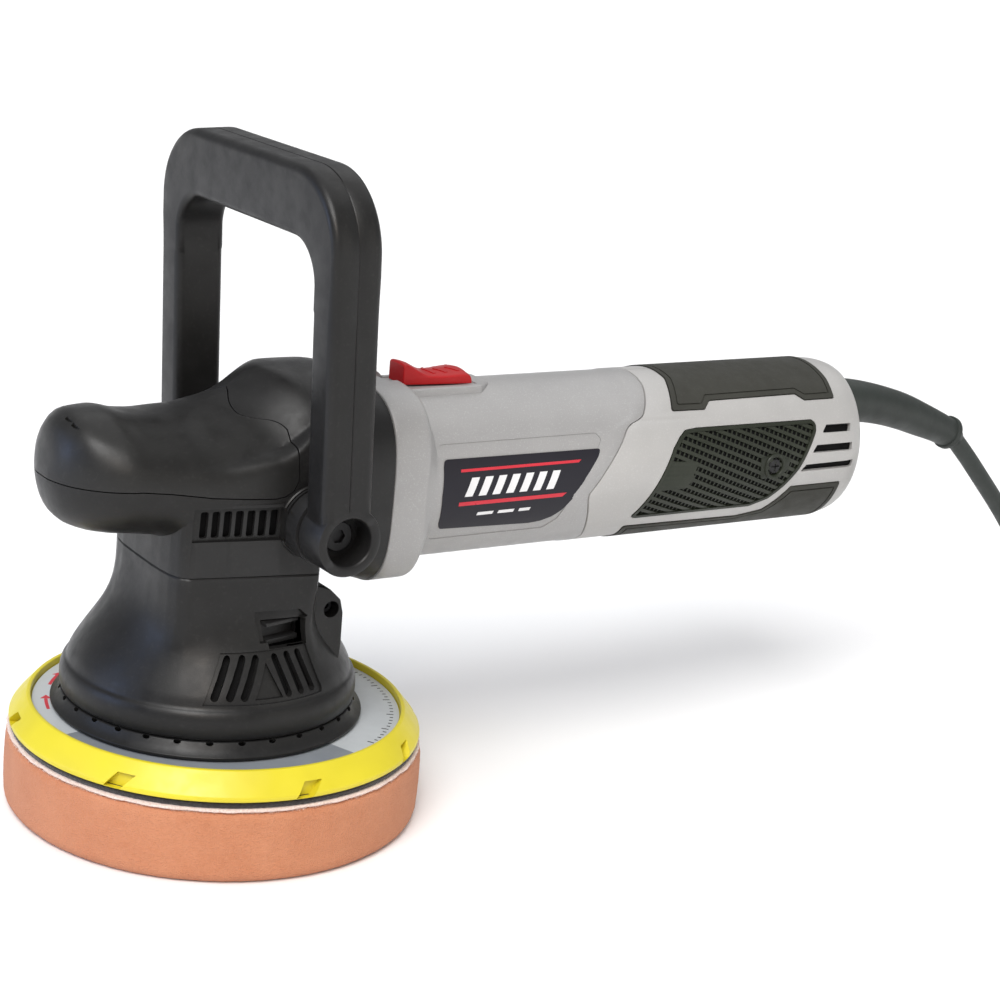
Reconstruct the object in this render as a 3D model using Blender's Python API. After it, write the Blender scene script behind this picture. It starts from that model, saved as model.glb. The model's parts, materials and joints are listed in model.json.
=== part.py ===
# Dual action polisher: eccentric pad drive, angle gear head with D-handle,
# brush motor in a round barrel, rear grip with slide switch, cord and plug.
# All lengths below are in millimetres; meshes are written in metres.
# Row frame: origin on the output spindle axis at the pad's working face,
# +X along the barrel to the cord end, +Z up the spindle.
import bpy
import bmesh
import math
from mathutils import Vector, Matrix

MM = 0.001
NB = 36                    # facets round the large turned parts
GAP = 0.3                  # clearance between neighbouring pieces

# ---- drive and pad ----
ECC = (4.0, -1.0)          # eccentric offset of the pad axis (about 8 mm orbit)
PAD_R = 76.0
PLATE_R = 75.0
PLATE_Z0, PLATE_Z1 = 30.2, 39.6
LIP_R = 68.3
LABEL_Z = 36.8
NOTCH_DEG = (165.4, -144.2, -92.3, -51.7, -19.7, 25.0, 70.0, 115.0)
RING_R = 56.7

# ---- barrel ----
ZB = 120.7                 # height of the motor axis
BR = 33.4                  # barrel radius
BR_IN = 30.4
COL_A, COL_B, COL_N = 35.0, 37.0, 3.4    # squarish collar half sizes and exponent
X_RIM = 51.0               # head casing / motor housing joint
X_STEP0, X_STEP1 = 66.0, 71.5
X_END = 291.0              # rear end face of the grip

# ---- gear train ----
GEAR_N, PIN_N = 28, 7
PIN_PR = 4.95              # pinion pitch radius
GEAR_MR = 19.8

# ---- D-handle ----
PIV = (16.6, 116.8)        # handle pivot x, z
H_TILT = math.radians(-2.7)
H_YO, H_YI = 64.2, 49.7
H_HALF = 9.55
H_TOP, H_TOPIN = 242.0, 217.6

# ---- spindle lock ----
LOCK_AZ = math.radians(-78.0)
LOCK_Z = 76.8


def clear_scene():
    for o in list(bpy.data.objects):
        bpy.data.objects.remove(o, do_unlink=True)


def finish_mesh(ob, weld=0.00001, flat=False):
    bm = bmesh.new()
    bm.from_mesh(ob.data)
    bmesh.ops.remove_doubles(bm, verts=bm.verts, dist=weld)
    bmesh.ops.dissolve_degenerate(bm, edges=bm.edges, dist=weld)
    if flat:
        bmesh.ops.dissolve_limit(bm, angle_limit=math.radians(0.6), verts=bm.verts[:], edges=bm.edges[:])
    bmesh.ops.triangulate(bm, faces=[f for f in bm.faces if len(f.verts) > 3])
    if not flat:
        bmesh.ops.recalc_face_normals(bm, faces=bm.faces)
        if bm.calc_volume(signed=True) < 0:
            bmesh.ops.reverse_faces(bm, faces=bm.faces)
    bm.to_mesh(ob.data)
    bm.free()
    ob.data.update()
    return ob


def mesh_obj(name, verts, faces):
    me = bpy.data.meshes.new(name)
    me.from_pydata([(v[0] * MM, v[1] * MM, v[2] * MM) for v in verts], [], faces)
    me.update()
    ob = bpy.data.objects.new(name, me)
    bpy.context.scene.collection.objects.link(ob)
    return finish_mesh(ob)


def loft(name, rings):
    """Solid through equal-length closed rings, flat caps."""
    n = len(rings[0])
    verts = [p for r in rings for p in r]
    faces = []
    for k in range(len(rings) - 1):
        for i in range(n):
            j = (i + 1) % n
            faces.append((k * n + i, k * n + j, (k + 1) * n + j, (k + 1) * n + i))
    faces.append(tuple(range(n - 1, -1, -1)))
    faces.append(tuple((len(rings) - 1) * n + i for i in range(n)))
    return mesh_obj(name, verts, faces)


def shell(name, outer, inner):
    """Open-ended sleeve: outer rings and inner rings joined at both rims."""
    n = len(outer[0])
    verts = [p for r in outer for p in r] + [p for r in inner for p in r]
    off = len(outer) * n
    faces = []
    for k in range(len(outer) - 1):
        for i in range(n):
            j = (i + 1) % n
            faces.append((k * n + i, k * n + j, (k + 1) * n + j, (k + 1) * n + i))
    for k in range(len(inner) - 1):
        for i in range(n):
            j = (i + 1) % n
            faces.append((off + k * n + i, off + (k + 1) * n + i, off + (k + 1) * n + j, off + k * n + j))
    lo, li = (len(outer) - 1) * n, off + (len(inner) - 1) * n
    for i in range(n):
        j = (i + 1) % n
        faces.append((i, off + i, off + j, j))
        faces.append((lo + i, lo + j, li + j, li + i))
    return mesh_obj(name, verts, faces)


def cup(name, outer, inner):
    """Sleeve open at its first rings, closed at its last rings."""
    n = len(outer[0])
    verts = [p for r in outer for p in r] + [p for r in inner for p in r]
    off = len(outer) * n
    faces = []
    for base, cnt, flip in ((0, len(outer), False), (off, len(inner), True)):
        for k in range(cnt - 1):
            for i in range(n):
                j = (i + 1) % n
                f = (base + k * n + i, base + k * n + j, base + (k + 1) * n + j, base + (k + 1) * n + i)
                faces.append(f[::-1] if flip else f)
        last = [base + (cnt - 1) * n + i for i in range(n)]
        faces.append(tuple(last[::-1]) if flip else tuple(last))
    for i in range(n):
        j = (i + 1) % n
        faces.append((i, off + i, off + j, j))
    return mesh_obj(name, verts, faces)


def place(axis, c, r, h, a):
    """Point at radius r, angle a, height h about an axis through c."""
    if axis == 'Z':
        return (c[0] + r * math.cos(a), c[1] + r * math.sin(a), h)
    if axis == 'X':
        return (h, c[0] + r * math.cos(a), c[1] + r * math.sin(a))
    return (c[0] + r * math.cos(a), h, c[1] + r * math.sin(a))


def revolve(name, prof, n=NB, axis='Z', c=(0.0, 0.0), ring=False, a0=0.0):
    """Turned solid. prof: (r, h) points; ring=True closes the profile."""
    verts, faces, idx = [], [], []
    for (r, h) in prof:
        if r < 1e-6:
            verts.append(place(axis, c, 0, h, 0))
            idx.append([len(verts) - 1] * n)
        else:
            base = len(verts)
            for i in range(n):
                verts.append(place(axis, c, r, h, a0 + 2 * math.pi * i / n))
            idx.append([base + i for i in range(n)])
    m = len(prof)
    for k in range(m if ring else m - 1):
        a, b = idx[k], idx[(k + 1) % m]
        for i in range(n):
            j = (i + 1) % n
            f = []
            for v in (a[i], a[j], b[j], b[i]):
                if v not in f:
                    f.append(v)
            if len(f) > 2:
                faces.append(tuple(f))
    return mesh_obj(name, verts, faces)


def tube(name, r0, r1, h0, h1, n=24, axis='Z', c=(0.0, 0.0)):
    return revolve(name, [(r0, h0), (r1, h0), (r1, h1), (r0, h1)], n, axis, c, ring=True)


def rod(name, r, h0, h1, n=16, axis='Z', c=(0.0, 0.0), a0=0.0):
    return revolve(name, [(0, h0), (r, h0), (r, h1), (0, h1)], n, axis, c, a0=a0)


def box(name, x0, x1, y0, y1, z0, z1):
    v = [(x, y, z) for x in (x0, x1) for y in (y0, y1) for z in (z0, z1)]
    f = [(0, 1, 3, 2), (4, 6, 7, 5), (0, 4, 5, 1), (2, 3, 7, 6), (0, 2, 6, 4), (1, 5, 7, 3)]
    return mesh_obj(name, v, f)


def prism(name, poly, plane, lo, hi):
    """Outline in a row plane, extruded along the third axis."""
    def p(a, b, h):
        return {'XY': (a, b, h), 'XZ': (a, h, b), 'YZ': (h, a, b)}[plane]
    n = len(poly)
    verts = [p(a, b, lo) for a, b in poly] + [p(a, b, hi) for a, b in poly]
    faces = [tuple(range(n)), tuple(range(2 * n - 1, n - 1, -1))]
    faces += [(i, (i + 1) % n, n + (i + 1) % n, n + i) for i in range(n)]
    return mesh_obj(name, verts, faces)


def turn(ob, angle, axis, c):
    """Rotate mesh data about a line through c (mm)."""
    m = Matrix.Translation(Vector(c) * MM) @ Matrix.Rotation(angle, 4, axis) @ Matrix.Translation(-Vector(c) * MM)
    ob.data.transform(m)
    ob.data.update()
    return ob


def bake(ob):
    dg = bpy.context.evaluated_depsgraph_get()
    me = bpy.data.meshes.new_from_object(ob.evaluated_get(dg))
    ob.modifiers.clear()
    ob.data = me
    return finish_mesh(ob, flat=True)


def boolean(ob, others, op='DIFFERENCE'):
    for c in others:
        m = ob.modifiers.new('b', 'BOOLEAN')
        m.operation = op
        m.solver = 'EXACT'
        m.object = c
        bpy.context.view_layer.update()
        bake(ob)
    for c in others:
        bpy.data.objects.remove(c, do_unlink=True)
    return ob


def cut(ob, *others):
    return boolean(ob, list(others), 'DIFFERENCE')


def join(ob, *others):
    return boolean(ob, list(others), 'UNION')


def keep(ob, *others):
    return boolean(ob, list(others), 'INTERSECT')


def copy_of(ob, name):
    c = bpy.data.objects.new(name, ob.data.copy())
    bpy.context.scene.collection.objects.link(c)
    return c


def wrap(name, poly, r0, r1, mirror=False, step=10.0):
    """Outline in (x, elevation in degrees) wrapped on the barrel between two
    radii. Elevation 0 faces -Y, 90 is the top; mirror puts it on +Y."""
    bm = bmesh.new()
    vs = [bm.verts.new((x, a, 0)) for x, a in poly]
    bm.faces.new(vs)
    lo, hi = min(a for _, a in poly), max(a for _, a in poly)
    k = math.ceil(lo / step)
    while k * step < hi:
        g = bm.verts[:] + bm.edges[:] + bm.faces[:]
        if k * step > lo + 0.2 and k * step < hi - 0.2:
            bmesh.ops.bisect_plane(bm, geom=g, dist=0.02, plane_co=(0, k * step, 0), plane_no=(0, 1, 0))
        k += 1
    bmesh.ops.triangulate(bm, faces=bm.faces[:])
    ext = bmesh.ops.extrude_face_region(bm, geom=bm.faces[:])
    top = {v for v in ext['geom'] if isinstance(v, bmesh.types.BMVert)}
    for v in bm.verts:
        r = r1 if v in top else r0
        x, a = v.co.x, math.radians(v.co.y)
        y = -r * math.cos(a)
        v.co = Vector((x, -y if mirror else y, ZB + r * math.sin(a))) * MM
    me = bpy.data.meshes.new(name)
    bm.to_mesh(me)
    bm.free()
    ob = bpy.data.objects.new(name, me)
    bpy.context.scene.collection.objects.link(ob)
    return finish_mesh(ob)


def lerp_tab(tab, x):
    if x <= tab[0][0]:
        return tab[0][1]
    for (a, va), (b, vb) in zip(tab, tab[1:]):
        if x <= b:
            t = (x - a) / (b - a)
            return va + (vb - va) * t
    return tab[-1][1]


def spow(c, e):
    return math.copysign(abs(c) ** e, c)


def sup_ring(x, w, zb, zt, n, m=36, bow=0.0):
    """Superellipse ring in the YZ plane; bow pushes the sides to +X."""
    zc, hh = (zb + zt) / 2, (zt - zb) / 2
    out = []
    for i in range(m):
        t = 2 * math.pi * (i + 0.5) / m
        y = w * spow(math.cos(t), 2 / n)
        z = zc + hh * spow(math.sin(t), 2 / n)
        out.append((x + bow * abs(y), y, z))
    return out


def collar_ring(x, a, b, n, m):
    """Squarish collar section, points at the same angles as circ_ring."""
    out = []
    for i in range(m):
        t = 2 * math.pi * (i + 0.5) / m
        r = (abs(math.cos(t) / a) ** n + abs(math.sin(t) / b) ** n) ** (-1.0 / n)
        out.append((x, r * math.cos(t), ZB + r * math.sin(t)))
    return out


def circ_ring(x, r, m, zc=ZB):
    return [(x, r * math.cos(2 * math.pi * (i + 0.5) / m), zc + r * math.sin(2 * math.pi * (i + 0.5) / m)) for i in range(m)]


# ---------------------------------------------------------------- head shape
def head_rings(off=0.0, m=28):
    """Nose, gear hump and rear rim; off shrinks every section."""
    tab = [  # x, half width, bottom, top, exponent, bow
        (-67.6, 7.0, 124.0, 136.5, 2.0, 0.0),
        (-66.0, 13.5, 117.5, 142.5, 2.1, 0.0),
        (-62.6, 19.8, 113.3, 147.4, 2.2, 0.0),
        (-57.6, 24.8, 110.8, 151.3, 2.3, 0.0),
        (-50.0, 28.6, 109.4, 153.4, 2.4, 0.0),
        (-40.0, 30.6, 108.8, 152.9, 2.5, 0.0),
        (-31.0, 31.6, 107.6, 153.2, 2.6, 0.0),
        (-22.0, 32.8, 104.0, 155.8, 2.7, 0.0),
        (-12.0, 34.6, 100.5, 158.6, 2.8, 0.0),
        (-2.0, 36.2, 99.0, 160.9, 2.8, 0.1),
        (11.0, 38.0, 98.0, 165.6, 2.7, 0.28),
        (22.0, 38.4, 98.2, 166.2, 2.7, 0.1),
        (31.6, 38.2, 98.3, 165.8, 2.8, 0.0),
        (37.0, 37.8, 91.8, 164.4, 2.9, 0.0),
        (43.0, 36.8, 87.0, 161.8, 3.0, 0.0),
        (X_RIM, COL_A, ZB - COL_B, ZB + COL_B, COL_N, 0.0)]
    return [sup_ring(x, w - off, zb + off, zt - off, n, m, bow) for x, w, zb, zt, n, bow in tab]


def neck_outline(off=0.0, m=NB):
    """Plan of the neck at its joint, as radius per angle."""
    fx, bx, wf, wb, e = 31.3 - off, 30.5 - off, 31.0 - off, 37.4 - off, 3.6
    pts = []
    for i in range(m):
        t = 2 * math.pi * i / m
        c, s = math.cos(t), math.sin(t)
        ax = bx if c > 0 else fx
        x = ax * spow(c, 2 / e)
        w = wf + (wb - wf) * (x + fx) / (fx + bx)
        y = w * spow(s, 2 / e)
        pts.append((x, y))
    return pts


def bell_r(z):
    return lerp_tab([(43.4, 52.9), (45.5, 53.4), (52.0, 53.2), (54.0, 52.4), (56.5, 51.4), (61.2, 48.8), (65.8, 46.8),
                     (70.4, 44.7), (75.1, 42.5), (79.6, 40.6), (84.2, 38.9), (88.8, 37.6), (93.4, 37.0), (98.0, 37.0)], z)


def bell_ring(z, off=0.0, m=NB):
    """Plan ring of the lower housing: round below, neck shaped above."""
    base = neck_outline(0.0, m)
    t = min(1.0, max(0.0, (95.0 - z) / 34.0))
    t = t * t * (3 - 2 * t)
    out = []
    for i, (x, y) in enumerate(base):
        a = 2 * math.pi * i / m
        rc = bell_r(z)
        xr, yr = rc * math.cos(a), rc * math.sin(a)
        px, py = x + (xr - x) * t, y + (yr - y) * t
        r = math.hypot(px, py)
        k = (r - off) / r
        out.append((px * k, py * k, z))
    return out


def seam_x(e):
    """Rear edge of the motor housing against elevation angle in degrees."""
    return lerp_tab([(-90, 149.0), (-57, 148.2), (-36, 145.2), (-12, 140.8), (11, 150.4), (30, 157.5), (43, 168.5),
                     (61, 174.8), (84, 177.0), (90, 177.0)], e)


def barrel_ring_seam(r, shift, m=NB):
    out = []
    for (x, y, z) in circ_ring(0.0, r, m):
        e = math.degrees(math.asin(max(-1, min(1, (z - ZB) / r))))
        out.append((seam_x(e) + shift, y, z))
    return out


def offset_poly(poly, d, ky=1.0):
    """Inward offset of an outline; ky scales the second coordinate to mm."""
    pts = [Vector((x, y * ky)) for x, y in poly]
    n = len(pts)
    area = sum(pts[i].x * pts[(i + 1) % n].y - pts[(i + 1) % n].x * pts[i].y for i in range(n))
    sgn = 1 if area > 0 else -1
    out = []
    for i in range(n):
        a, b, c = pts[i - 1], pts[i], pts[(i + 1) % n]
        u, v = (b - a).normalized(), (c - b).normalized()
        nu, nv = Vector((-u.y, u.x)) * sgn, Vector((-v.y, v.x)) * sgn
        k = (nu + nv) / max(0.35, 1 + nu.dot(nv))
        p = b + k * d
        out.append((p.x, p.y / ky))
    return out


def merged(name, obs):
    """Separate closed cutters gathered in one object."""
    bm = bmesh.new()
    for o in obs:
        bm.from_mesh(o.data)
        bpy.data.objects.remove(o, do_unlink=True)
    me = bpy.data.meshes.new(name)
    bm.to_mesh(me)
    bm.free()
    ob = bpy.data.objects.new(name, me)
    bpy.context.scene.collection.objects.link(ob)
    return ob


def az_box(name, az, x0, x1, hw, z0, z1, tilt=0.0):
    b = box(name, x0, x1, -hw, hw, z0, z1)
    if tilt:
        turn(b, tilt, 'X', (0, 0, (z0 + z1) / 2))
    return turn(b, az, 'Z', (0, 0, 0))


# ================================================================ pad group
def make_pad():
    revolve('foam_pad', [(0, 0), (72.6, 0), (75.2, 1.2), (PAD_R, 3.4), (PAD_R, 22.5), (75.4, 25.4), (74.2, 26.4), (0, 26.4)], NB, 'Z', ECC)
    revolve('pad_fleece', [(0, 26.6), (75.0, 26.6), (75.6, 27.4), (75.2, 28.4), (0, 28.4)], NB, 'Z', ECC)
    revolve('hook_disc', [(0, 28.6), (73.2, 28.6), (73.2, 29.9), (0, 29.9)], 36, 'Z', ECC)
    plate = revolve('backing_plate', [(0, PLATE_Z0), (74.3, PLATE_Z0), (PLATE_R, 31.0), (74.6, 32.3), (69.0, 39.3), (LIP_R, PLATE_Z1),
                                      (67.7, 39.3), (67.4, 36.4), (19.0, 36.4), (18.0, 38.2), (5.4, 38.2), (5.4, 31.6), (0, 31.6)], NB, 'Z', ECC)
    cuts = []
    for deg in NOTCH_DEG:
        b = box('n', 72.0, 78.0, -3.4, 3.4, 30.9, 33.3)
        turn(b, math.radians(38), 'X', (0, 0, 31.9))
        turn(b, math.radians(deg), 'Z', (0, 0, 0))
        b.data.transform(Matrix.Translation(Vector((ECC[0], ECC[1], 0)) * MM))
        cuts.append(b)
    cut(plate, merged('notches', cuts))
    revolve('plate_label', [(26, LABEL_Z), (67.0, LABEL_Z), (67.0, LABEL_Z + 0.35), (26, LABEL_Z + 0.35)], NB, 'Z', ECC, ring=True)
    revolve('pad_spindle', [(0, 32.0), (5.0, 32.0), (5.0, 38.5), (11.0, 38.5), (11.0, 41.0), (6.0, 41.0), (6.0, 53.4), (0, 53.4)], 20, 'Z', ECC)


def make_carrier():
    tube('pad_bearing', 6.35, 15.0, 44.6, 53.6, 24, 'Z', ECC)
    car = rod('eccentric_carrier', 24.0, 44.2, 57.0, 36)
    mid = math.atan2(-ECC[1], -ECC[0])
    half = math.radians(72)
    arc = [mid - half + 2 * half * i / 12 for i in range(13)]
    poly = [(41 * math.cos(a), 41 * math.sin(a)) for a in arc] + [(14 * math.cos(a), 14 * math.sin(a)) for a in arc[::-4]]
    join(car, prism('w', poly, 'XY', 44.2, 56.0), rod('h', 14.0, 55.0, 66.2, 24))
    cut(car, rod('b1', 15.3, 43.0, 54.2, 24, c=ECC), rod('b2', 7.95, 58.4, 67.0, 24))
    revolve('output_spindle', [(0, 58.8), (7.6, 58.8), (7.6, 116.6), (5.0, 116.6), (5.0, 133.0), (0, 133.0)], 20)
    d = tube('lock_disc', 7.95, 20.0, 73.6, 80.0, 32)
    cut(d, merged('q', [az_box('q', LOCK_AZ + k * math.pi / 2, 13.6, 22.0, 3.4, 72.0, 82.0) for k in range(4)]))
    tube('spindle_bearing_lower', 7.95, 16.9, 86.4, 96.2, 24)
    tube('spindle_bearing_upper', 5.3, 9.5, 126.0, 132.6, 20)
    # crown gear with straight teeth on its upper face
    rings = []
    pitch = 2 * math.pi / GEAR_N
    for k in range(GEAR_N):
        c = (k + 0.5) * pitch
        for da, zt in ((-3.7, 114.45), (-1.6, 116.5), (1.6, 116.5), (3.7, 114.45)):
            a = c + math.radians(da)
            rings.append([(r * math.cos(a), r * math.sin(a), z) for r, z in
                          ((7.95, 108.4), (22.6, 108.4), (22.6, zt), (17.0, zt), (7.95, 113.2))])
    n = 5
    verts = [p for r in rings for p in r]
    faces = []
    for k in range(len(rings)):
        l = (k + 1) % len(rings)
        for i in range(n):
            j = (i + 1) % n
            faces.append((k * n + i, k * n + j, l * n + j, l * n + i))
    mesh_obj('crown_gear', verts, faces)


# ================================================================ gear head
def make_head():
    gh = rod('gear_housing', 25.8, 84.4, 136.8, 32)
    join(gh, rod('t', 13.5, 15.0, 45.0, 24, 'X', (0, ZB)), rod('f', 27.6, 44.0, 49.0, 28, 'X', (0, ZB)))
    cut(gh, rod('c', 23.7, 98.6, 124.8, 32), rod('s', 9.0, 84.0, 126.0, 20), rod('lb', 17.2, 84.0, 96.5, 24),
        rod('ub', 9.8, 124.0, 133.4, 20), rod('pb', 8.2, 10.0, 46.0, 20, 'X', (0, ZB)), rod('mb', 11.3, 35.4, 50.0, 24, 'X', (0, ZB)))

    head = loft('head_casing', head_rings())
    join(head, prism('neck', neck_outline(0.0, 28), 'XY', 98.1, 128.0))
    bosses = [rod('b', 13.2, 30.0, 49.2, 24, 'Y', PIV), rod('b', 13.2, -49.2, -30.0, 24, 'Y', PIV)]
    join(head, *bosses)
    hollow = [r for k, r in enumerate(head_rings(3.0, 16)) if k not in (0, 1, 4, 7)]
    hollow.append([(p[0] + 2.0, p[1], p[2]) for p in hollow[-1]])
    inner = loft('i', hollow)
    join(inner, prism('ni', neck_outline(3.0, 24), 'XY', 96.0, 122.0))
    cut(head, inner)
    # bolt holes through the handle bosses
    cut(head, rod('bh', 4.4, -51.0, -22.0, 16, 'Y', PIV), rod('bh', 4.4, 22.0, 51.0, 16, 'Y', PIV))
    # ventilation recess and seven slots on each side
    for s in (-1, 1):
        rec = [(-29.0, s * 42), (2.6, s * 42), (2.6, s * 35.2), (-29.0, s * 30.2)]
        cut(head, prism('rec', rec, 'XY', 112.7, 124.3))
        slots = []
        for k in range(7):
            x = -25.4 + 4.3 * k
            slots.append(box('s', x - 1.05, x + 1.05, min(s * 25, s * 41), max(s * 25, s * 41), 114.2, 123.0))
        cut(head, merged('slots', slots))
    # palm cover: parting line on the side, S-curve over the top

    def region(name, g):
        side = [(-70, 129.2 - g), (-45, 130.0 - g), (-30, 128.6 - g), (-20, 126.8 - g), (3, 126.2 - g), (8.6 + g, 127.6 - g),
                (11.3 + g, 131.5 - g), (11.3 + g, 180), (-70, 180)]
        curve = [(-1.0, 0.0), (-2.5, 6.0), (-6.5, 12.0), (-5.5, 19.0), (1.0, 24.5), (6.0, 28.5), (9.2, 33.0), (11.0, 37.0), (11.5, 46.0)]
        edge = [(x + g, -y) for x, y in curve[::-1]] + [(x + g, y) for x, y in curve[1:]]
        plan = [(-72, -46)] + edge + [(-72, 46)]
        a = prism(name, side, 'XZ', -45, 45)
        return keep(a, prism('pl', plan, 'XY', 100, 190))

    palm = copy_of(head, 'palm_rest_cover')
    keep(palm, region('r1', 0.0))
    cut(head, region('r2', 0.35))

    # lower housing: neck above, round bell below
    zo = [43.8, 45.6, 52.2, 54.4, 61.0, 68.0, 76.0, 83.0, 90.0, 97.8]
    zi = [43.8, 53.5, 64.0, 80.0, 97.8]
    bell = shell('lower_housing', [bell_ring(z) for z in zo], [bell_ring(z, 3.0) for z in zi])
    for s in (-1, 1):
        lug = prism('lug', [(18, 68.0), (29.6, 67.0), (30.8, 69.0), (30.8, 85.5), (29.0, 88.6), (20.5, 93.6), (18, 93.6)], 'XZ', min(s * 26, s * 39.6), max(s * 26, s * 39.6))
        join(bell, lug)
    inside = loft('in', [bell_ring(z, 3.0) for z in (42.0, 53.5, 64.0, 80.0, 99.0)])
    cut(bell, inside)
    for s in (-1, 1):
        cut(bell, rod('lh', 3.0, min(s * 33.5, s * 42), max(s * 33.5, s * 42), 12, 'Y', (25.8, 84.3)))
    join(bell, az_box('guide', LOCK_AZ, 28.3, 37.5, 12.0, 68.8, 84.6))
    cut(bell, az_box('pocket', LOCK_AZ, 36.4, 60.0, 10.5, 71.0, 82.8))
    cut(bell, az_box('way', LOCK_AZ, 20.0, 60.0, 7.7, 72.4, 81.4))
    slots = []
    for s in (-1, 1):
        for k in range(3):
            for side in (-1, 1):
                az = math.radians(s * (92.4 + side * (7.6 + 6.5 * k)))
                slots.append(az_box('v', az, 42.0, 62.0, 1.05, 57.4, 71.0, s * side * math.radians(20 - 1.5 * k)))
    cut(bell, merged('vents', slots))

    revolve('shroud_ring', [(50.0, 43.4), (52.8, 43.4), (53.4, 42.7), (56.3, 39.1), (RING_R, 38.2), (55.2, 38.2), (51.4, 42.2), (50.0, 42.2)], NB, ring=True)

    b = az_box('spindle_lock_button', LOCK_AZ, 29.4, 37.6, 7.3, 72.8, 81.0)
    cut(b, merged('ribs', [az_box('g', LOCK_AZ, 36.9, 39.0, 8.0, z, z + 1.4) for z in (74.6, 77.8)]))
    p = rod('spindle_lock_pin', 2.6, 21.4, 29.1, 12, 'X', (0, LOCK_Z))
    turn(p, LOCK_AZ, 'Z', (0, 0, 0))
    for s, tag in ((-1, 'left'), (1, 'right')):
        k = revolve('lug_screw_' + tag, [(0, s * 34.0), (2.7, s * 34.0), (2.7, s * 37.2), (1.3, s * 37.2), (1.3, s * 35.8), (0, s * 35.8)], 12, 'Y', (25.8, 84.3))


# ================================================================ D-handle
def make_handle():
    pairs = []     # (outer, inner) points of the frame in the YZ plane
    zl = PIV[1]
    ro, ri = 27.0, 15.0
    right = [((H_YO, zl), (H_YI, zl)), ((H_YO, zl + 40), (H_YI, zl + 40)), ((H_YO, H_TOP - ro - 6), (H_YI, H_TOPIN - ri - 8))]
    for k in range(7):
        a = math.radians(90 * k / 6)
        o = (H_YO - ro + ro * math.cos(a), H_TOP - ro + ro * math.sin(a))
        i = (H_YI - ri + ri * math.cos(a), H_TOPIN - ri + ri * math.sin(a))
        right.append((o, i))
    pairs = right + [((-o[0], o[1]), (-i[0], i[1])) for o, i in right[::-1]]
    x0 = PIV[0] - 0.7
    rings = []
    ch = 2.4
    for o, i in pairs:
        o, i = Vector(o), Vector(i)
        u = (i - o).normalized()
        row = []
        for d, x in ((0, H_HALF - ch), (0.9, H_HALF - 0.9), (ch + 0.6, H_HALF), (None, H_HALF), ((-0.9), H_HALF - 0.9), (-0.0001, H_HALF - ch)):
            L = (i - o).length
            if d is None:
                t = L - ch - 0.6
            elif d < 0:
                t = L + d
            else:
                t = d
            p = o + u * t
            row.append((p.x, p.y, x))
        ring = [(x0 + x, y, z) for y, z, x in row] + [(x0 - x, y, z) for y, z, x in row[::-1]]
        rings.append(ring)
    h = loft('d_handle', rings)
    feet = [rod('f', 12.4, H_YI, H_YO, 28, 'Y', PIV), rod('f', 12.4, -H_YO, -H_YI, 28, 'Y', PIV)]
    join(h, *feet)
    cut(h, rod('c', 8.5, -66, -53.7, 24, 'Y', PIV), rod('c', 8.5, 53.7, 66, 24, 'Y', PIV))
    cut(h, rod('c', 4.5, -56, -48, 16, 'Y', PIV), rod('c', 4.5, 48, 56, 16, 'Y', PIV))
    turn(h, H_TILT, 'Y', (PIV[0], 0, PIV[1]))
    for s, tag in ((-1, 'left'), (1, 'right')):
        b = revolve('handle_bolt_' + tag, [(0, s * 34.0), (4.0, s * 34.0), (4.0, s * 54.0), (6.4, s * 54.0), (6.4, s * 57.4), (3.0, s * 57.4), (3.0, s * 55.4), (0, s * 55.4)], 12, 'Y', PIV)


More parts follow.
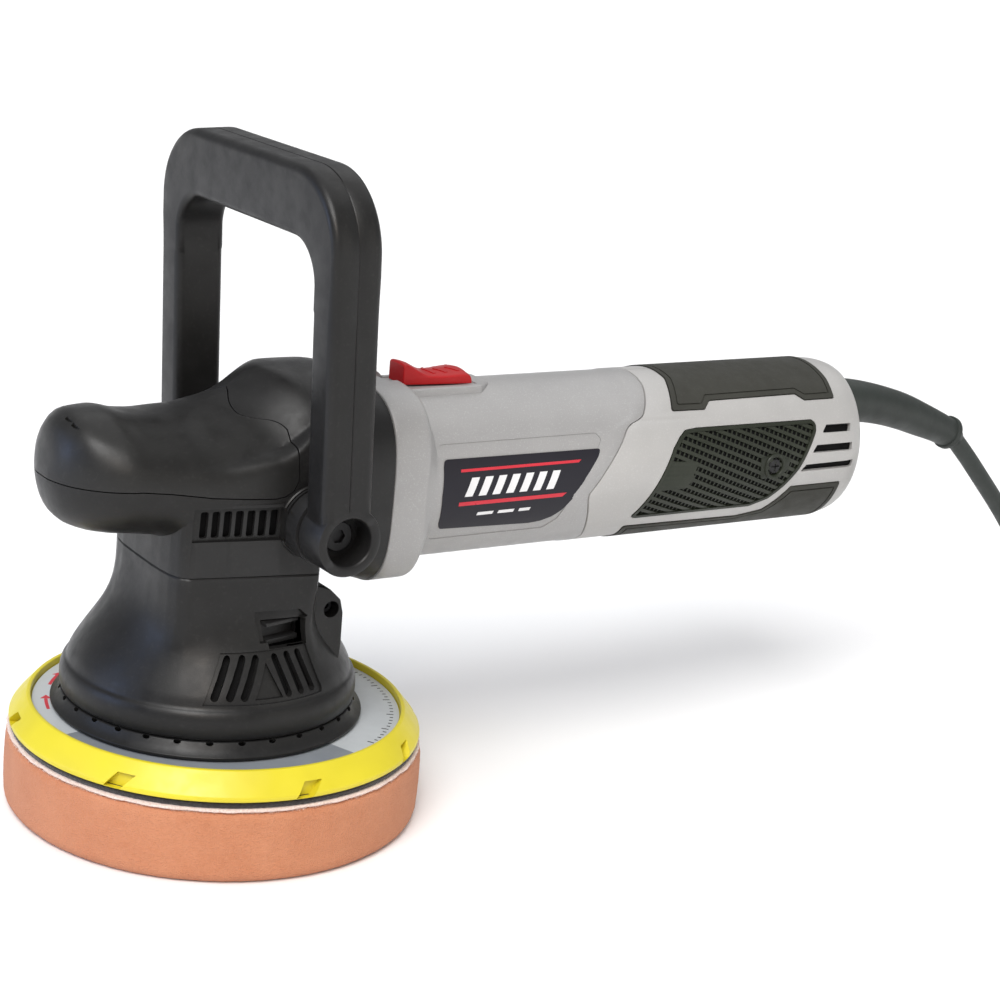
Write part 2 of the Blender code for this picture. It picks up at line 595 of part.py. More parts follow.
# ================================================================ motor
def make_motor():
    m = NB
    outer = [collar_ring(X_RIM + 0.3, COL_A, COL_B, COL_N, m), collar_ring(X_STEP0, COL_A, COL_B, COL_N, m),
             circ_ring(X_STEP1, BR, m), circ_ring(118.0, BR, m), barrel_ring_seam(BR, 0.0)]
    inner = [collar_ring(X_RIM + 0.3, COL_A - 3, COL_B - 3, COL_N, m), collar_ring(X_STEP0 - 2, COL_A - 3, COL_B - 3, COL_N, m),
             circ_ring(X_STEP1, BR_IN, m), circ_ring(118.0, BR_IN, m), barrel_ring_seam(BR_IN, 0.0)]
    h = shell('motor_housing', outer, inner)
    join(h, box('pad', 62.0, 106.0, -10.8, 10.8, 151.4, 154.4))
    cut(h, box('pk', 61.0, 100.5, -8.3, 8.3, 154.45, 162.0), box('sl', 69.2, 87.0, -3.0, 3.0, 140.0, 162.0))
    sw = prism('switch_slider', [(70.2, 154.8), (98.6, 154.8), (98.6, 157.6), (95.6, 158.8), (86, 158.2), (79, 158.9), (74, 160.8), (71.6, 161.7), (70.2, 161.2)], 'XZ', -7.6, 7.6)
    join(sw, box('st', 78.4, 85.6, -2.5, 2.5, 149.95, 156.0))
    box('switch_rod', 79.0, 169.0, -2.4, 2.4, 148.3, 149.6)
    box('switch_module', 171.0, 226.0, -15.5, 15.5, 109.0, 133.0)
    st = [(75.0, 21), (145.2, 20.6), (143.5, 15), (138.0, 2), (133.3, -12), (129.0, -21), (123.5, -27.5), (116, -29), (75.5, -26), (74.4, -22), (73.9, 17)]
    wrap('label_left', st, BR + 0.15, BR + 0.5)
    wrap('label_right', [(78, 20), (138, 20), (138, -24), (78, -24)], BR + 0.15, BR + 0.5, mirror=True)

    # armature group
    teeth = []
    for k in range(PIN_N):
        c = -math.pi / 2 + 2 * math.pi * k / PIN_N
        for r, da in ((3.7, -17.0), (5.8, -5.0), (5.8, 5.0), (3.7, 17.0)):
            a = c + math.radians(da)
            teeth.append((r * math.cos(a), ZB + r * math.sin(a)))
    bore = []
    for k in range(PIN_N):
        for da in (-17.0, -5.0, 5.0, 17.0):
            a = -math.pi / 2 + 2 * math.pi * k / PIN_N + math.radians(da)
            bore.append((2.5 * math.cos(a), ZB + 2.5 * math.sin(a)))
    shell('pinion', [[(x, y, z) for y, z in teeth] for x in (17.1, 22.5)], [[(x, y, z) for y, z in bore] for x in (17.1, 22.5)])
    revolve('armature_shaft', [(0, 16.4), (2.1, 16.4), (2.1, 23.2), (3.9, 23.4), (3.9, 162.0), (0, 162.0)], 14, 'X', (0, ZB))
    tube('motor_bearing_front', 4.25, 11.0, 36.0, 43.6, 20, 'X', (0, ZB))
    tube('motor_bearing_rear', 4.25, 8.5, 153.0, 160.0, 20, 'X', (0, ZB))
    fan = tube('fan', 4.25, 26.5, 56.0, 57.6, 32, 'X', (0, ZB))
    blades = []
    for k in range(8):
        b = box('b', 57.0, 65.0, 10.0, 26.0, ZB - 0.7, ZB + 0.7)
        blades.append(turn(b, 2 * math.pi * (k + 0.5) / 8, 'X', (0, 0, ZB)))
    join(fan, merged('blades', blades))
    join(fan, tube('hub', 4.25, 8.0, 57.0, 66.0, 16, 'X', (0, ZB)))
    core = []
    hole = []
    for k in range(12):
        c = 2 * math.pi * k / 12
        for r, da in ((14.5, -12.5), (19.5, -12.0), (19.5, 12.0), (14.5, 12.5)):
            a = c + math.radians(da)
            core.append((r * math.cos(a), ZB + r * math.sin(a)))
            hole.append((4.25 * math.cos(a), ZB + 4.25 * math.sin(a)))
    shell('armature_core', [[(x, y, z) for y, z in core] for x in (84.0, 126.0)], [[(x, y, z) for y, z in hole] for x in (84.0, 126.0)])
    tube('commutator', 4.25, 11.0, 134.0, 147.0, 24, 'X', (0, ZB))
    tube('stator_core', 20.4, 27.2, 84.0, 126.0, 32, 'X', (0, ZB))
    for s, tag in ((1, 'upper'), (-1, 'lower')):
        arc = [math.radians(90 * s - 62 + 124 * i / 10) for i in range(11)]
        poly = [(26.8 * math.cos(a), ZB + 26.8 * math.sin(a)) for a in arc] + [(20.6 * math.cos(a), ZB + 20.6 * math.sin(a)) for a in arc[::-1]]
        prism('field_coil_' + tag, poly, 'YZ', 126.3, 133.0)
    for s, tag in ((-1, 'left'), (1, 'right')):
        b = box('brush_holder_' + tag, 136.0, 146.0, min(s * 11.4, s * 26.0), max(s * 11.4, s * 26.0), ZB - 5.0, ZB + 5.0)


# ================================================================ rear grip
TOP_INLAY = [(182.5, 42), (199.2, 41.5), (203.2, 48), (248.2, 48.5), (252.0, 43), (268.3, 43), (269.8, 60), (269.8, 120), (268.3, 137),
             (252.0, 137), (248.2, 131.5), (203.2, 132), (199.2, 138.5), (182.5, 138), (184.5, 128), (188.6, 108), (188.6, 72), (184.5, 52)]
LOW_INLAY = [(165.5, -44), (224.0, -46.5), (235.4, -41), (244.2, -19), (271.5, -19), (273.0, -60), (273.0, -120), (271.5, -161),
             (244.2, -161), (235.4, -139), (224.0, -133.5), (165.5, -136), (168.0, -118), (168.0, -62)]
GRILLE = [(165.4, -33), (168.0, -35.5), (226.4, -35.5), (234.8, -29), (240.8, -18), (246.2, -6), (254.4, 20), (254.8, 25.5), (252.8, 29),
          (192.5, 29.5), (186.6, 28.5), (183.4, 24), (180.0, 17)]


def make_grip():
    m = NB

    def ell(x, wy, wz):
        return [(x, wy * math.cos(2 * math.pi * (i + 0.5) / m), ZB + wz * math.sin(2 * math.pi * (i + 0.5) / m)) for i in range(m)]
    out = [barrel_ring_seam(BR, 0.4), ell(205.0, BR, BR), ell(272.0, BR, BR), ell(279.0, 31.4, 32.8), ell(284.0, 27.2, 31.2), ell(287.6, 21.5, 28.2), ell(289.5, 15.0, 24.0)]
    inn = [barrel_ring_seam(BR_IN, 0.4), ell(205.0, BR_IN, BR_IN), ell(270.0, BR_IN, BR_IN), ell(281.0, 25.5, 28.6), ell(286.0, 15.0, 23.0)]
    body = cup('rear_shell_left', out, inn)
    cut(body, wrap('w1', TOP_INLAY, 31.9, 36.0), wrap('w2', LOW_INLAY, 31.9, 36.0), wrap('w3', GRILLE, 31.9, 36.0), wrap('w4', GRILLE, 31.9, 36.0, mirror=True))
    grooves = []
    for mir in (False, True):
        for k in range(3):
            x0, e, x1 = 259.0 - 5.0 * k, 24.0 - 13.2 * k, 273.6 + 0.9 * k
            grooves.append(wrap('g', [(x0, e - 2.1), (x1, e - 2.1), (x1 + 1.2, e), (x1, e + 2.1), (x0 + 2.2, e + 2.1)], 32.3, 36.0, mirror=mir))
    cut(body, merged('grooves', grooves))
    cut(body, rod('bh', 9.5, 278.0, 292.0, 20, 'X', (0, 136.0)), box('ds', 281.0, 294.0, -2.9, 2.9, 93.6, 114.2))
    cut(body, rod('sh', 3.5, -36.0, -28.0, 16, 'Y', (232.7, ZB - 1.2)), rod('sh', 3.5, 28.0, 36.0, 16, 'Y', (232.7, ZB - 1.2)))
    right = copy_of(body, 'rear_shell_right')
    keep(body, box('k', 100, 320, -60, -0.15, 60, 180))
    keep(right, box('k', 100, 320, 0.15, 60, 60, 180))
    kk = math.radians(1) * 32.0
    wrap('top_grip_inlay', offset_poly(TOP_INLAY, 0.35, kk), 32.2, 33.9)
    wrap('lower_grip_inlay', offset_poly(LOW_INLAY, 0.35, kk), 32.2, 33.8)
    for mir, tag in ((False, 'left'), (True, 'right')):
        g = wrap('side_grille_' + tag, offset_poly(GRILLE, 0.35, kk), 32.2, 33.2, mirror=mir)
        s = 1 if mir else -1
        cut(g, rod('h', 3.9, min(s * 30, s * 36), max(s * 30, s * 36), 16, 'Y', (232.7, ZB - 1.2)))
        revolve('grille_screw_' + tag, [(0, s * 27.0), (1.6, s * 27.0), (1.6, s * 30.2), (3.1, s * 30.6), (3.1, s * 33.4), (0, s * 33.4)], 14, 'Y', (232.7, ZB - 1.2))
    revolve('speed_dial', [(0, -2.5), (8.4, -2.5), (9.0, -1.9), (9.0, 1.9), (8.4, 2.5), (0, 2.5)], 24, 'Y', (283.4, 103.9))
    box('cord_clamp', 258.0, 268.0, -11.0, 11.0, 140.2, 144.5)


# ================================================================ cord
BOOT = [(279.5, 136.2, 8.6), (289.9, 136.0, 8.9), (299.0, 134.9, 9.2), (310.0, 133.3, 8.8), (321.5, 130.9, 8.4), (333.0, 127.7, 8.1), (344.0, 123.8, 7.6), (354.0, 120.2, 7.0), (362.2, 116.9, 6.6)]
CORD_D = 8.0
COIL_C = (526.5, -54.0)
ROUTE = [(367.6, 0.0, 113.9), (379.5, 0.0, 103.0), (392.5, 0.0, 90.3), (406.0, 0.0, 76.8), (424.0, 0.5, 57.5), (442.5, 1.8, 37.8), (461.0, 4.0, 19.6), (473.0, 5.6, 10.9), (484.5, 7.0, 5.9)]


def smooth(pts, step):
    """Centripetal-like Catmull-Rom through the points, near-even spacing."""
    P = [Vector(p) for p in pts]
    P = [P[0] * 2 - P[1]] + P + [P[-1] * 2 - P[-2]]
    out = []
    for i in range(1, len(P) - 2):
        n = max(2, round((P[i + 1] - P[i]).length / step))
        for k in range(n):
            t = k / n
            out.append(0.5 * ((2 * P[i]) + (P[i + 1] - P[i - 1]) * t + (2 * P[i - 1] - 5 * P[i] + 4 * P[i + 1] - P[i + 2]) * t * t
                              + (3 * P[i] - P[i - 1] - 3 * P[i + 1] + P[i + 2]) * t ** 3))
    out.append(P[-2])
    return out


def make_cord():
    path = [Vector((x, 0, z)) for x, z, r in BOOT]
    rings = []
    for i, (x, z, r) in enumerate(BOOT):
        d = (path[min(i + 1, len(path) - 1)] - path[max(i - 1, 0)]).normalized()
        up = Vector((-d.z, 0, d.x))
        rings.append([tuple(path[i] + up * (r * math.sin(2 * math.pi * k / 14)) + Vector((0, r * math.cos(2 * math.pi * k / 14), 0))) for k in range(14)])
    d = (path[-1] - path[-2]).normalized()
    up = Vector((-d.z, 0, d.x))
    for adv, r in ((0.6, 7.6), (3.0, 7.6), (4.3, 6.2)):
        c = path[-1] + d * adv
        rings.append([tuple(c + up * (r * math.sin(2 * math.pi * k / 14)) + Vector((0, r * math.cos(2 * math.pi * k / 14), 0))) for k in range(14)])
    loft('strain_relief_boot', rings)
    cu = bpy.data.curves.new('power_cord', 'CURVE')
    cu.dimensions = '3D'
    pts = smooth(ROUTE, 2.2 * CORD_D)
    sp = cu.splines.new('POLY')
    sp.points.add(len(pts) - 1)
    for q, p in zip(sp.points, pts):
        q.co = (p.x * MM, p.y * MM, p.z * MM, 1)
    cu.bevel_depth = CORD_D / 2 * MM
    cu.bevel_resolution = 3
    cu.use_fill_caps = True
    ob = bpy.data.objects.new('power_cord', cu)
    bpy.context.scene.collection.objects.link(ob)
    revolve('cord_coil', [(28.3, 2.5), (30.5, 0.3), (66.5, 0.3), (68.7, 2.5), (68.7, 21.1), (66.5, 23.3), (30.5, 23.3), (28.3, 21.1)], 24, 'Z', COIL_C, ring=True)
    # flat contour plug lying on the coil
    cx, cy = COIL_C[0] + 22.4, COIL_C[1] + 27.7
    z0, z1 = 23.6, 39.6
    plan = [(-24, -6.5), (-20, -8.0), (-6, -13.5), (10, -18.0), (19, -18.0), (20.5, -16.5), (20.5, 16.5), (19, 18.0), (10, 18.0), (-6, 13.5), (-20, 8.0), (-24, 6.5)]
    plug = prism('plug_body', [(cx + a, cy + b) for a, b in plan], 'XY', z0, z1)
    for s, tag in ((-1, 'a'), (1, 'b')):
        revolve('plug_pin_' + tag, [(0, cx + 20.9), (2.4, cx + 20.9), (2.4, cx + 39.0), (1.4, cx + 39.9), (0, cx + 39.9)], 12, 'X', (cy + s * 9.5, 31.6))


clear_scene()
make_pad()
make_carrier()
make_head()
make_handle()
make_motor()
make_grip()
make_cord()

# ================================================================ origins and materials
ORIGINS = {
    'foam_pad': (ECC[0], ECC[1], 0), 'pad_fleece': (ECC[0], ECC[1], 0), 'hook_disc': (ECC[0], ECC[1], 0), 'backing_plate': (ECC[0], ECC[1], 0),
    'plate_label': (ECC[0], ECC[1], 0), 'pad_spindle': (ECC[0], ECC[1], 0), 'd_handle': (PIV[0], 0, PIV[1]), 'speed_dial': (283.4, 0, 103.9),
    'pinion': (0, 0, ZB), 'armature_shaft': (0, 0, ZB), 'fan': (0, 0, ZB), 'armature_core': (0, 0, ZB), 'commutator': (0, 0, ZB)}
for nm, o in ORIGINS.items():
    ob = bpy.data.objects[nm]
    v = Vector(o) * MM
    ob.data.transform(Matrix.Translation(-v))
    ob.location = v

PALETTE = {
    'foam': ((0.72, 0.33, 0.20), 0.9, 0.0), 'fleece': ((0.86, 0.72, 0.66), 0.95, 0.0), 'hook_black': ((0.03, 0.03, 0.03), 0.9, 0.0),
    'plate_yellow': ((0.86, 0.80, 0.04), 0.45, 0.0), 'label_grey': ((0.55, 0.56, 0.58), 0.4, 0.0), 'steel': ((0.6, 0.6, 0.62), 0.3, 1.0),
    'cast_alu': ((0.55, 0.56, 0.58), 0.5, 1.0), 'black_plastic': ((0.035, 0.036, 0.042), 0.45, 0.0), 'soft_black': ((0.045, 0.045, 0.048), 0.6, 0.0),
    'grey_plastic': ((0.43, 0.42, 0.41), 0.4, 0.0), 'light_grey': ((0.55, 0.53, 0.52), 0.38, 0.0), 'grip_rubber': ((0.06, 0.062, 0.055), 0.75, 0.0),
    'grille_green': ((0.025, 0.032, 0.025), 0.6, 0.0), 'switch_red': ((0.55, 0.01, 0.02), 0.35, 0.0), 'label_black': ((0.015, 0.015, 0.025), 0.3, 0.0),
    'copper': ((0.72, 0.34, 0.16), 0.35, 1.0), 'laminate': ((0.35, 0.35, 0.36), 0.55, 1.0), 'cord_black': ((0.02, 0.024, 0.022), 0.6, 0.0),
    'brass_pin': ((0.72, 0.6, 0.36), 0.3, 1.0), 'module': ((0.05, 0.05, 0.06), 0.6, 0.0)}
WHICH = {
    'foam_pad': 'foam', 'pad_fleece': 'fleece', 'hook_disc': 'hook_black', 'backing_plate': 'plate_yellow', 'plate_label': 'label_grey',
    'pad_spindle': 'steel', 'pad_bearing': 'steel', 'eccentric_carrier': 'cast_alu', 'output_spindle': 'steel', 'lock_disc': 'steel',
    'spindle_bearing_lower': 'steel', 'spindle_bearing_upper': 'steel', 'crown_gear': 'steel', 'gear_housing': 'cast_alu',
    'head_casing': 'black_plastic', 'palm_rest_cover': 'soft_black', 'lower_housing': 'black_plastic', 'shroud_ring': 'black_plastic',
    'spindle_lock_button': 'black_plastic', 'spindle_lock_pin': 'steel', 'lug_screw_left': 'steel', 'lug_screw_right': 'steel',
    'd_handle': 'black_plastic', 'handle_bolt_left': 'steel', 'handle_bolt_right': 'steel', 'motor_housing': 'grey_plastic',
    'switch_slider': 'switch_red', 'switch_rod': 'black_plastic', 'switch_module': 'module', 'label_left': 'label_black', 'label_right': 'label_grey',
    'pinion': 'steel', 'armature_shaft': 'steel', 'motor_bearing_front': 'steel', 'motor_bearing_rear': 'steel', 'fan': 'black_plastic',
    'armature_core': 'laminate', 'commutator': 'copper', 'stator_core': 'laminate', 'field_coil_upper': 'copper', 'field_coil_lower': 'copper',
    'brush_holder_left': 'brass_pin', 'brush_holder_right': 'brass_pin', 'rear_shell_left': 'light_grey', 'rear_shell_right': 'light_grey',
    'top_grip_inlay': 'grip_rubber', 'lower_grip_inlay': 'grip_rubber', 'side_grille_left': 'grille_green', 'side_grille_right': 'grille_green',
    'grille_screw_left': 'steel', 'grille_screw_right': 'steel', 'speed_dial': 'black_plastic', 'cord_clamp': 'black_plastic',
    'strain_relief_boot': 'cord_black', 'power_cord': 'cord_black', 'cord_coil': 'cord_black', 'plug_body': 'cord_black',
    'plug_pin_a': 'brass_pin', 'plug_pin_b': 'brass_pin'}
mats = {}
for key, (col, rough, metal) in PALETTE.items():
    m = bpy.data.materials.new(key)
    m.use_nodes = True
    sh = m.node_tree.nodes['Principled BSDF']
    sh.inputs['Base Color'].default_value = (*col, 1)
    sh.inputs['Roughness'].default_value = rough
    sh.inputs['Metallic'].default_value = metal
    mats[key] = m
for ob in bpy.data.objects:
    if ob.name in WHICH:
        ob.data.materials.clear()
        ob.data.materials.append(mats[WHICH[ob.name]])
    if ob.type == 'MESH':
        ob.data.shade_smooth()
        ob.data.set_sharp_from_angle(angle=math.radians(32))
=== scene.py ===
# Dual action polisher: the looks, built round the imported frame.
# Shapes are written in millimetres and scaled to metres when a mesh is made.
import bpy
import bmesh
import json
import math
import random
import numpy as np
from mathutils import Matrix, Vector


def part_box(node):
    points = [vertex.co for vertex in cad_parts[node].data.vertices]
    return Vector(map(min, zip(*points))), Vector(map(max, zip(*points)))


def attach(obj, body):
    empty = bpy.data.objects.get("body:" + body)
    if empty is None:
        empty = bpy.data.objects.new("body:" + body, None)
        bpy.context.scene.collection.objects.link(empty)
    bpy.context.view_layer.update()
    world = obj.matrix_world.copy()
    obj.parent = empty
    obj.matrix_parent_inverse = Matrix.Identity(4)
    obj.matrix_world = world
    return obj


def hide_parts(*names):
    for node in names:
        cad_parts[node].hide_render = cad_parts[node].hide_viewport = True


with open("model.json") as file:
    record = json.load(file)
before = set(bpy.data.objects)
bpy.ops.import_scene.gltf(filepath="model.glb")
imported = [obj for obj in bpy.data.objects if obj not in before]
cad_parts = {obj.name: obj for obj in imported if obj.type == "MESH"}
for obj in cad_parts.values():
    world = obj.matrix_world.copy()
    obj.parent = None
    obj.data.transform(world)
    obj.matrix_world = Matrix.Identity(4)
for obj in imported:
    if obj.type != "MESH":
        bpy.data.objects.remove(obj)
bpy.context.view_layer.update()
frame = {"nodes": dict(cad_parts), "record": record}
NODES = frame["nodes"]
MM = 0.001
scene = bpy.context.scene

# ============================================================ camera
cam_data = bpy.data.cameras.new("camera")
cam = bpy.data.objects.new("camera", cam_data)
scene.collection.objects.link(cam)
cam.matrix_world = Matrix(((0.825848, 0.078955, -0.558337, -0.367463),
                           (-0.555452, 0.284571, -0.78134, -0.685821),
                           (0.097196, 0.955398, 0.278869, 0.349232),
                           (0, 0, 0, 1)))
cam_data.sensor_width = 36
cam_data.lens = 81.153
cam_data.clip_start = 0.01
scene.camera = cam


# ============================================================ mesh helpers
def new_obj(name, me):
    ob = bpy.data.objects.new(name, me)
    scene.collection.objects.link(ob)
    return ob


def tidy(ob, weld=0.000004, flat=False):
    bm = bmesh.new()
    bm.from_mesh(ob.data)
    bmesh.ops.remove_doubles(bm, verts=bm.verts, dist=weld)
    bmesh.ops.dissolve_degenerate(bm, edges=bm.edges, dist=weld)
    if not flat:
        bmesh.ops.recalc_face_normals(bm, faces=bm.faces)
        if bm.calc_volume(signed=True) < 0:
            bmesh.ops.reverse_faces(bm, faces=bm.faces)
    bm.to_mesh(ob.data)
    bm.free()
    ob.data.update()
    return ob


def mesh_obj(name, verts, faces):
    me = bpy.data.meshes.new(name)
    me.from_pydata([(v[0] * MM, v[1] * MM, v[2] * MM) for v in verts], [], faces)
    me.update()
    return tidy(new_obj(name, me))


def ring_faces(n, rows, base=0, flip=False):
    out = []
    for k in range(rows - 1):
        for i in range(n):
            j = (i + 1) % n
            f = (base + k * n + i, base + k * n + j, base + (k + 1) * n + j, base + (k + 1) * n + i)
            out.append(f[::-1] if flip else f)
    return out


def loft(name, rings):
    n = len(rings[0])
    verts = [p for r in rings for p in r]
    faces = ring_faces(n, len(rings))
    faces.append(tuple(range(n - 1, -1, -1)))
    faces.append(tuple((len(rings) - 1) * n + i for i in range(n)))
    return mesh_obj(name, verts, faces)


def shell(name, outer, inner):
    n = len(outer[0])
    verts = [p for r in outer for p in r] + [p for r in inner for p in r]
    off = len(outer) * n
    faces = ring_faces(n, len(outer)) + ring_faces(n, len(inner), off, True)
    lo, li = (len(outer) - 1) * n, off + (len(inner) - 1) * n
    for i in range(n):
        j = (i + 1) % n
        faces.append((i, off + i, off + j, j))
        faces.append((lo + i, lo + j, li + j, li + i))
    return mesh_obj(name, verts, faces)


def cup(name, outer, inner):
    n = len(outer[0])
    verts = [p for r in outer for p in r] + [p for r in inner for p in r]
    off = len(outer) * n
    faces = ring_faces(n, len(outer)) + ring_faces(n, len(inner), off, True)
    a = [(len(outer) - 1) * n + i for i in range(n)]
    b = [off + (len(inner) - 1) * n + i for i in range(n)]
    faces += [tuple(a), tuple(b[::-1])]
    for i in range(n):
        j = (i + 1) % n
        faces.append((i, off + i, off + j, j))
    return mesh_obj(name, verts, faces)


def place(axis, c, r, h, a):
    if axis == 'Z':
        return (c[0] + r * math.cos(a), c[1] + r * math.sin(a), h)
    if axis == 'X':
        return (h, c[0] + r * math.cos(a), c[1] + r * math.sin(a))
    return (c[0] + r * math.cos(a), h, c[1] + r * math.sin(a))


def revolve(name, prof, n=96, axis='Z', c=(0.0, 0.0), ring=False):
    verts, faces, idx = [], [], []
    for (r, h) in prof:
        if r < 1e-6:
            verts.append(place(axis, c, 0, h, 0))
            idx.append([len(verts) - 1] * n)
        else:
            base = len(verts)
            verts += [place(axis, c, r, h, 2 * math.pi * i / n) for i in range(n)]
            idx.append([base + i for i in range(n)])
    m = len(prof)
    for k in range(m if ring else m - 1):
        a, b = idx[k], idx[(k + 1) % m]
        for i in range(n):
            j = (i + 1) % n
            f = []
            for v in (a[i], a[j], b[j], b[i]):
                if v not in f:
                    f.append(v)
            if len(f) > 2:
                faces.append(tuple(f))
    return mesh_obj(name, verts, faces)


def rod(name, r, h0, h1, n=48, axis='Z', c=(0.0, 0.0)):
    return revolve(name, [(0, h0), (r, h0), (r, h1), (0, h1)], n, axis, c)


def tube(name, r0, r1, h0, h1, n=48, axis='Z', c=(0.0, 0.0)):
    return revolve(name, [(r0, h0), (r1, h0), (r1, h1), (r0, h1)], n, axis, c, ring=True)


def rounded(prof, radii, seg=5):
    """Profile points with chosen corners replaced by arcs. radii: index -> mm."""
    out = []
    n = len(prof)
    for i, p in enumerate(prof):
        r = radii.get(i, 0)
        if not r:
            out.append(p)
            continue
        a, b, c = Vector(prof[i - 1]), Vector(p), Vector(prof[(i + 1) % n])
        u, v = (a - b).normalized(), (c - b).normalized()
        ang = u.angle(v)
        d = min(r / math.tan(ang / 2), (a - b).length * 0.49, (c - b).length * 0.49)
        s, e = b + u * d, b + v * d
        for k in range(seg + 1):
            t = k / seg
            q = s * (1 - t) ** 2 + b * 2 * t * (1 - t) + e * t * t
            out.append((q.x, q.y))
    return out


def box(name, x0, x1, y0, y1, z0, z1, bevel=0.0, seg=3):
    v = [(x, y, z) for x in (x0, x1) for y in (y0, y1) for z in (z0, z1)]
    f = [(0, 1, 3, 2), (4, 6, 7, 5), (0, 4, 5, 1), (2, 3, 7, 6), (0, 2, 6, 4), (1, 5, 7, 3)]
    ob = mesh_obj(name, v, f)
    return bevelled(ob, bevel, seg) if bevel else ob


def bevelled(ob, width, seg=3, angle=40):
    bm = bmesh.new()
    bm.from_mesh(ob.data)
    ed = [e for e in bm.edges if len(e.link_faces) == 2 and e.calc_face_angle(0) > math.radians(angle)]
    bmesh.ops.bevel(bm, geom=ed, offset=width * MM, segments=seg, affect='EDGES', clamp_overlap=True, profile=0.5)
    bm.to_mesh(ob.data)
    bm.free()
    ob.data.update()
    return ob


def prism(name, poly, plane, lo, hi, bevel=0.0):
    def p(a, b, h):
        return {'XY': (a, b, h), 'XZ': (a, h, b), 'YZ': (h, a, b)}[plane]
    n = len(poly)
    verts = [p(a, b, lo) for a, b in poly] + [p(a, b, hi) for a, b in poly]
    faces = [tuple(range(n)), tuple(range(2 * n - 1, n - 1, -1))]
    faces += [(i, (i + 1) % n, n + (i + 1) % n, n + i) for i in range(n)]
    ob = mesh_obj(name, verts, faces)
    return bevelled(ob, bevel) if bevel else ob


def turn(ob, angle, axis, c):
    m = Matrix.Translation(Vector(c) * MM) @ Matrix.Rotation(angle, 4, axis) @ Matrix.Translation(-Vector(c) * MM)
    ob.data.transform(m)
    ob.data.update()
    return ob


def boolean(ob, others, op):
    for c in others:
        m = ob.modifiers.new('b', 'BOOLEAN')
        m.operation = op
        m.solver = 'EXACT'
        m.object = c
        bpy.context.view_layer.update()
        dg = bpy.context.evaluated_depsgraph_get()
        me = bpy.data.meshes.new_from_object(ob.evaluated_get(dg))
        ob.modifiers.clear()
        ob.data = me
        tidy(ob, flat=True)
    for c in others:
        bpy.data.objects.remove(c, do_unlink=True)
    return ob


def cut(ob, *o):
    return boolean(ob, list(o), 'DIFFERENCE')


def join(ob, *o):
    return boolean(ob, list(o), 'UNION')


def keep(ob, *o):
    return boolean(ob, list(o), 'INTERSECT')


def copy_of(ob, name):
    return new_obj(name, ob.data.copy())


def merged(name, obs):
    bm = bmesh.new()
    for o in obs:
        bm.from_mesh(o.data)
        bpy.data.objects.remove(o, do_unlink=True)
    me = bpy.data.meshes.new(name)
    bm.to_mesh(me)
    bm.free()
    return new_obj(name, me)


def smooth_poly(poly, r, seg=4, ky=1.0):
    """Closed outline with every corner rounded by about r."""
    pts = [(x, y * ky) for x, y in poly]
    out = rounded(pts, {i: r for i in range(len(pts))}, seg)
    return [(x, y / ky) for x, y in out]


def offset_poly(poly, d, ky=1.0):
    pts = [Vector((x, y * ky)) for x, y in poly]
    n = len(pts)
    area = sum(pts[i].x * pts[(i + 1) % n].y - pts[(i + 1) % n].x * pts[i].y for i in range(n))
    sgn = 1 if area > 0 else -1
    out = []
    for i in range(n):
        a, b, c = pts[i - 1], pts[i], pts[(i + 1) % n]
        u, v = (b - a).normalized(), (c - b).normalized()
        nu, nv = Vector((-u.y, u.x)) * sgn, Vector((-v.y, v.x)) * sgn
        k = (nu + nv) / max(0.35, 1 + nu.dot(nv))
        p = b + k * d
        out.append((p.x, p.y / ky))
    return out


def clip_convex(poly, outline):
    """Part of a convex polygon inside a convex outline (both lists of 2-D points)."""
    area = sum(outline[i][0] * outline[(i + 1) % len(outline)][1] - outline[(i + 1) % len(outline)][0] * outline[i][1] for i in range(len(outline)))
    ol = outline if area > 0 else outline[::-1]
    out = list(poly)
    for i in range(len(ol)):
        a, b = ol[i], ol[(i + 1) % len(ol)]

        def side(p):
            return (b[0] - a[0]) * (p[1] - a[1]) - (b[1] - a[1]) * (p[0] - a[0])
        res = []
        for k in range(len(out)):
            p, q = out[k], out[(k + 1) % len(out)]
            sp, sq = side(p), side(q)
            if sp >= 0:
                res.append(p)
            if sp * sq < 0:
                t = sp / (sp - sq)
                res.append((p[0] + (q[0] - p[0]) * t, p[1] + (q[1] - p[1]) * t))
        out = res
        if len(out) < 3:
            return None
    return out


def sheet_solid(name, poly, fmap, d0, d1, step_u=None, step_v=None):
    """Closed slab over an outline (u, v), carried onto a surface by
    fmap(u, v, d), between offsets d0 and d1."""
    bm = bmesh.new()
    bm.faces.new([bm.verts.new((u, v, 0)) for u, v in poly])
    for ax, step in ((0, step_u), (1, step_v)):
        if not step:
            continue
        lo, hi = min(p[ax] for p in poly), max(p[ax] for p in poly)
        k = math.ceil(lo / step)
        while k * step < hi:
            if k * step > lo + 0.05 * step and k * step < hi - 0.05 * step:
                no = (1, 0, 0) if ax == 0 else (0, 1, 0)
                co = (k * step, 0, 0) if ax == 0 else (0, k * step, 0)
                bmesh.ops.bisect_plane(bm, geom=bm.verts[:] + bm.edges[:] + bm.faces[:], dist=0.002, plane_co=co, plane_no=no)
            k += 1
    bmesh.ops.triangulate(bm, faces=bm.faces[:])
    ext = bmesh.ops.extrude_face_region(bm, geom=bm.faces[:])
    top = {v for v in ext['geom'] if isinstance(v, bmesh.types.BMVert)}
    for v in bm.verts:
        p = fmap(v.co.x, v.co.y, d1 if v in top else d0)
        v.co = Vector(p) * MM
    me = bpy.data.meshes.new(name)
    bm.to_mesh(me)
    bm.free()
    return tidy(new_obj(name, me))


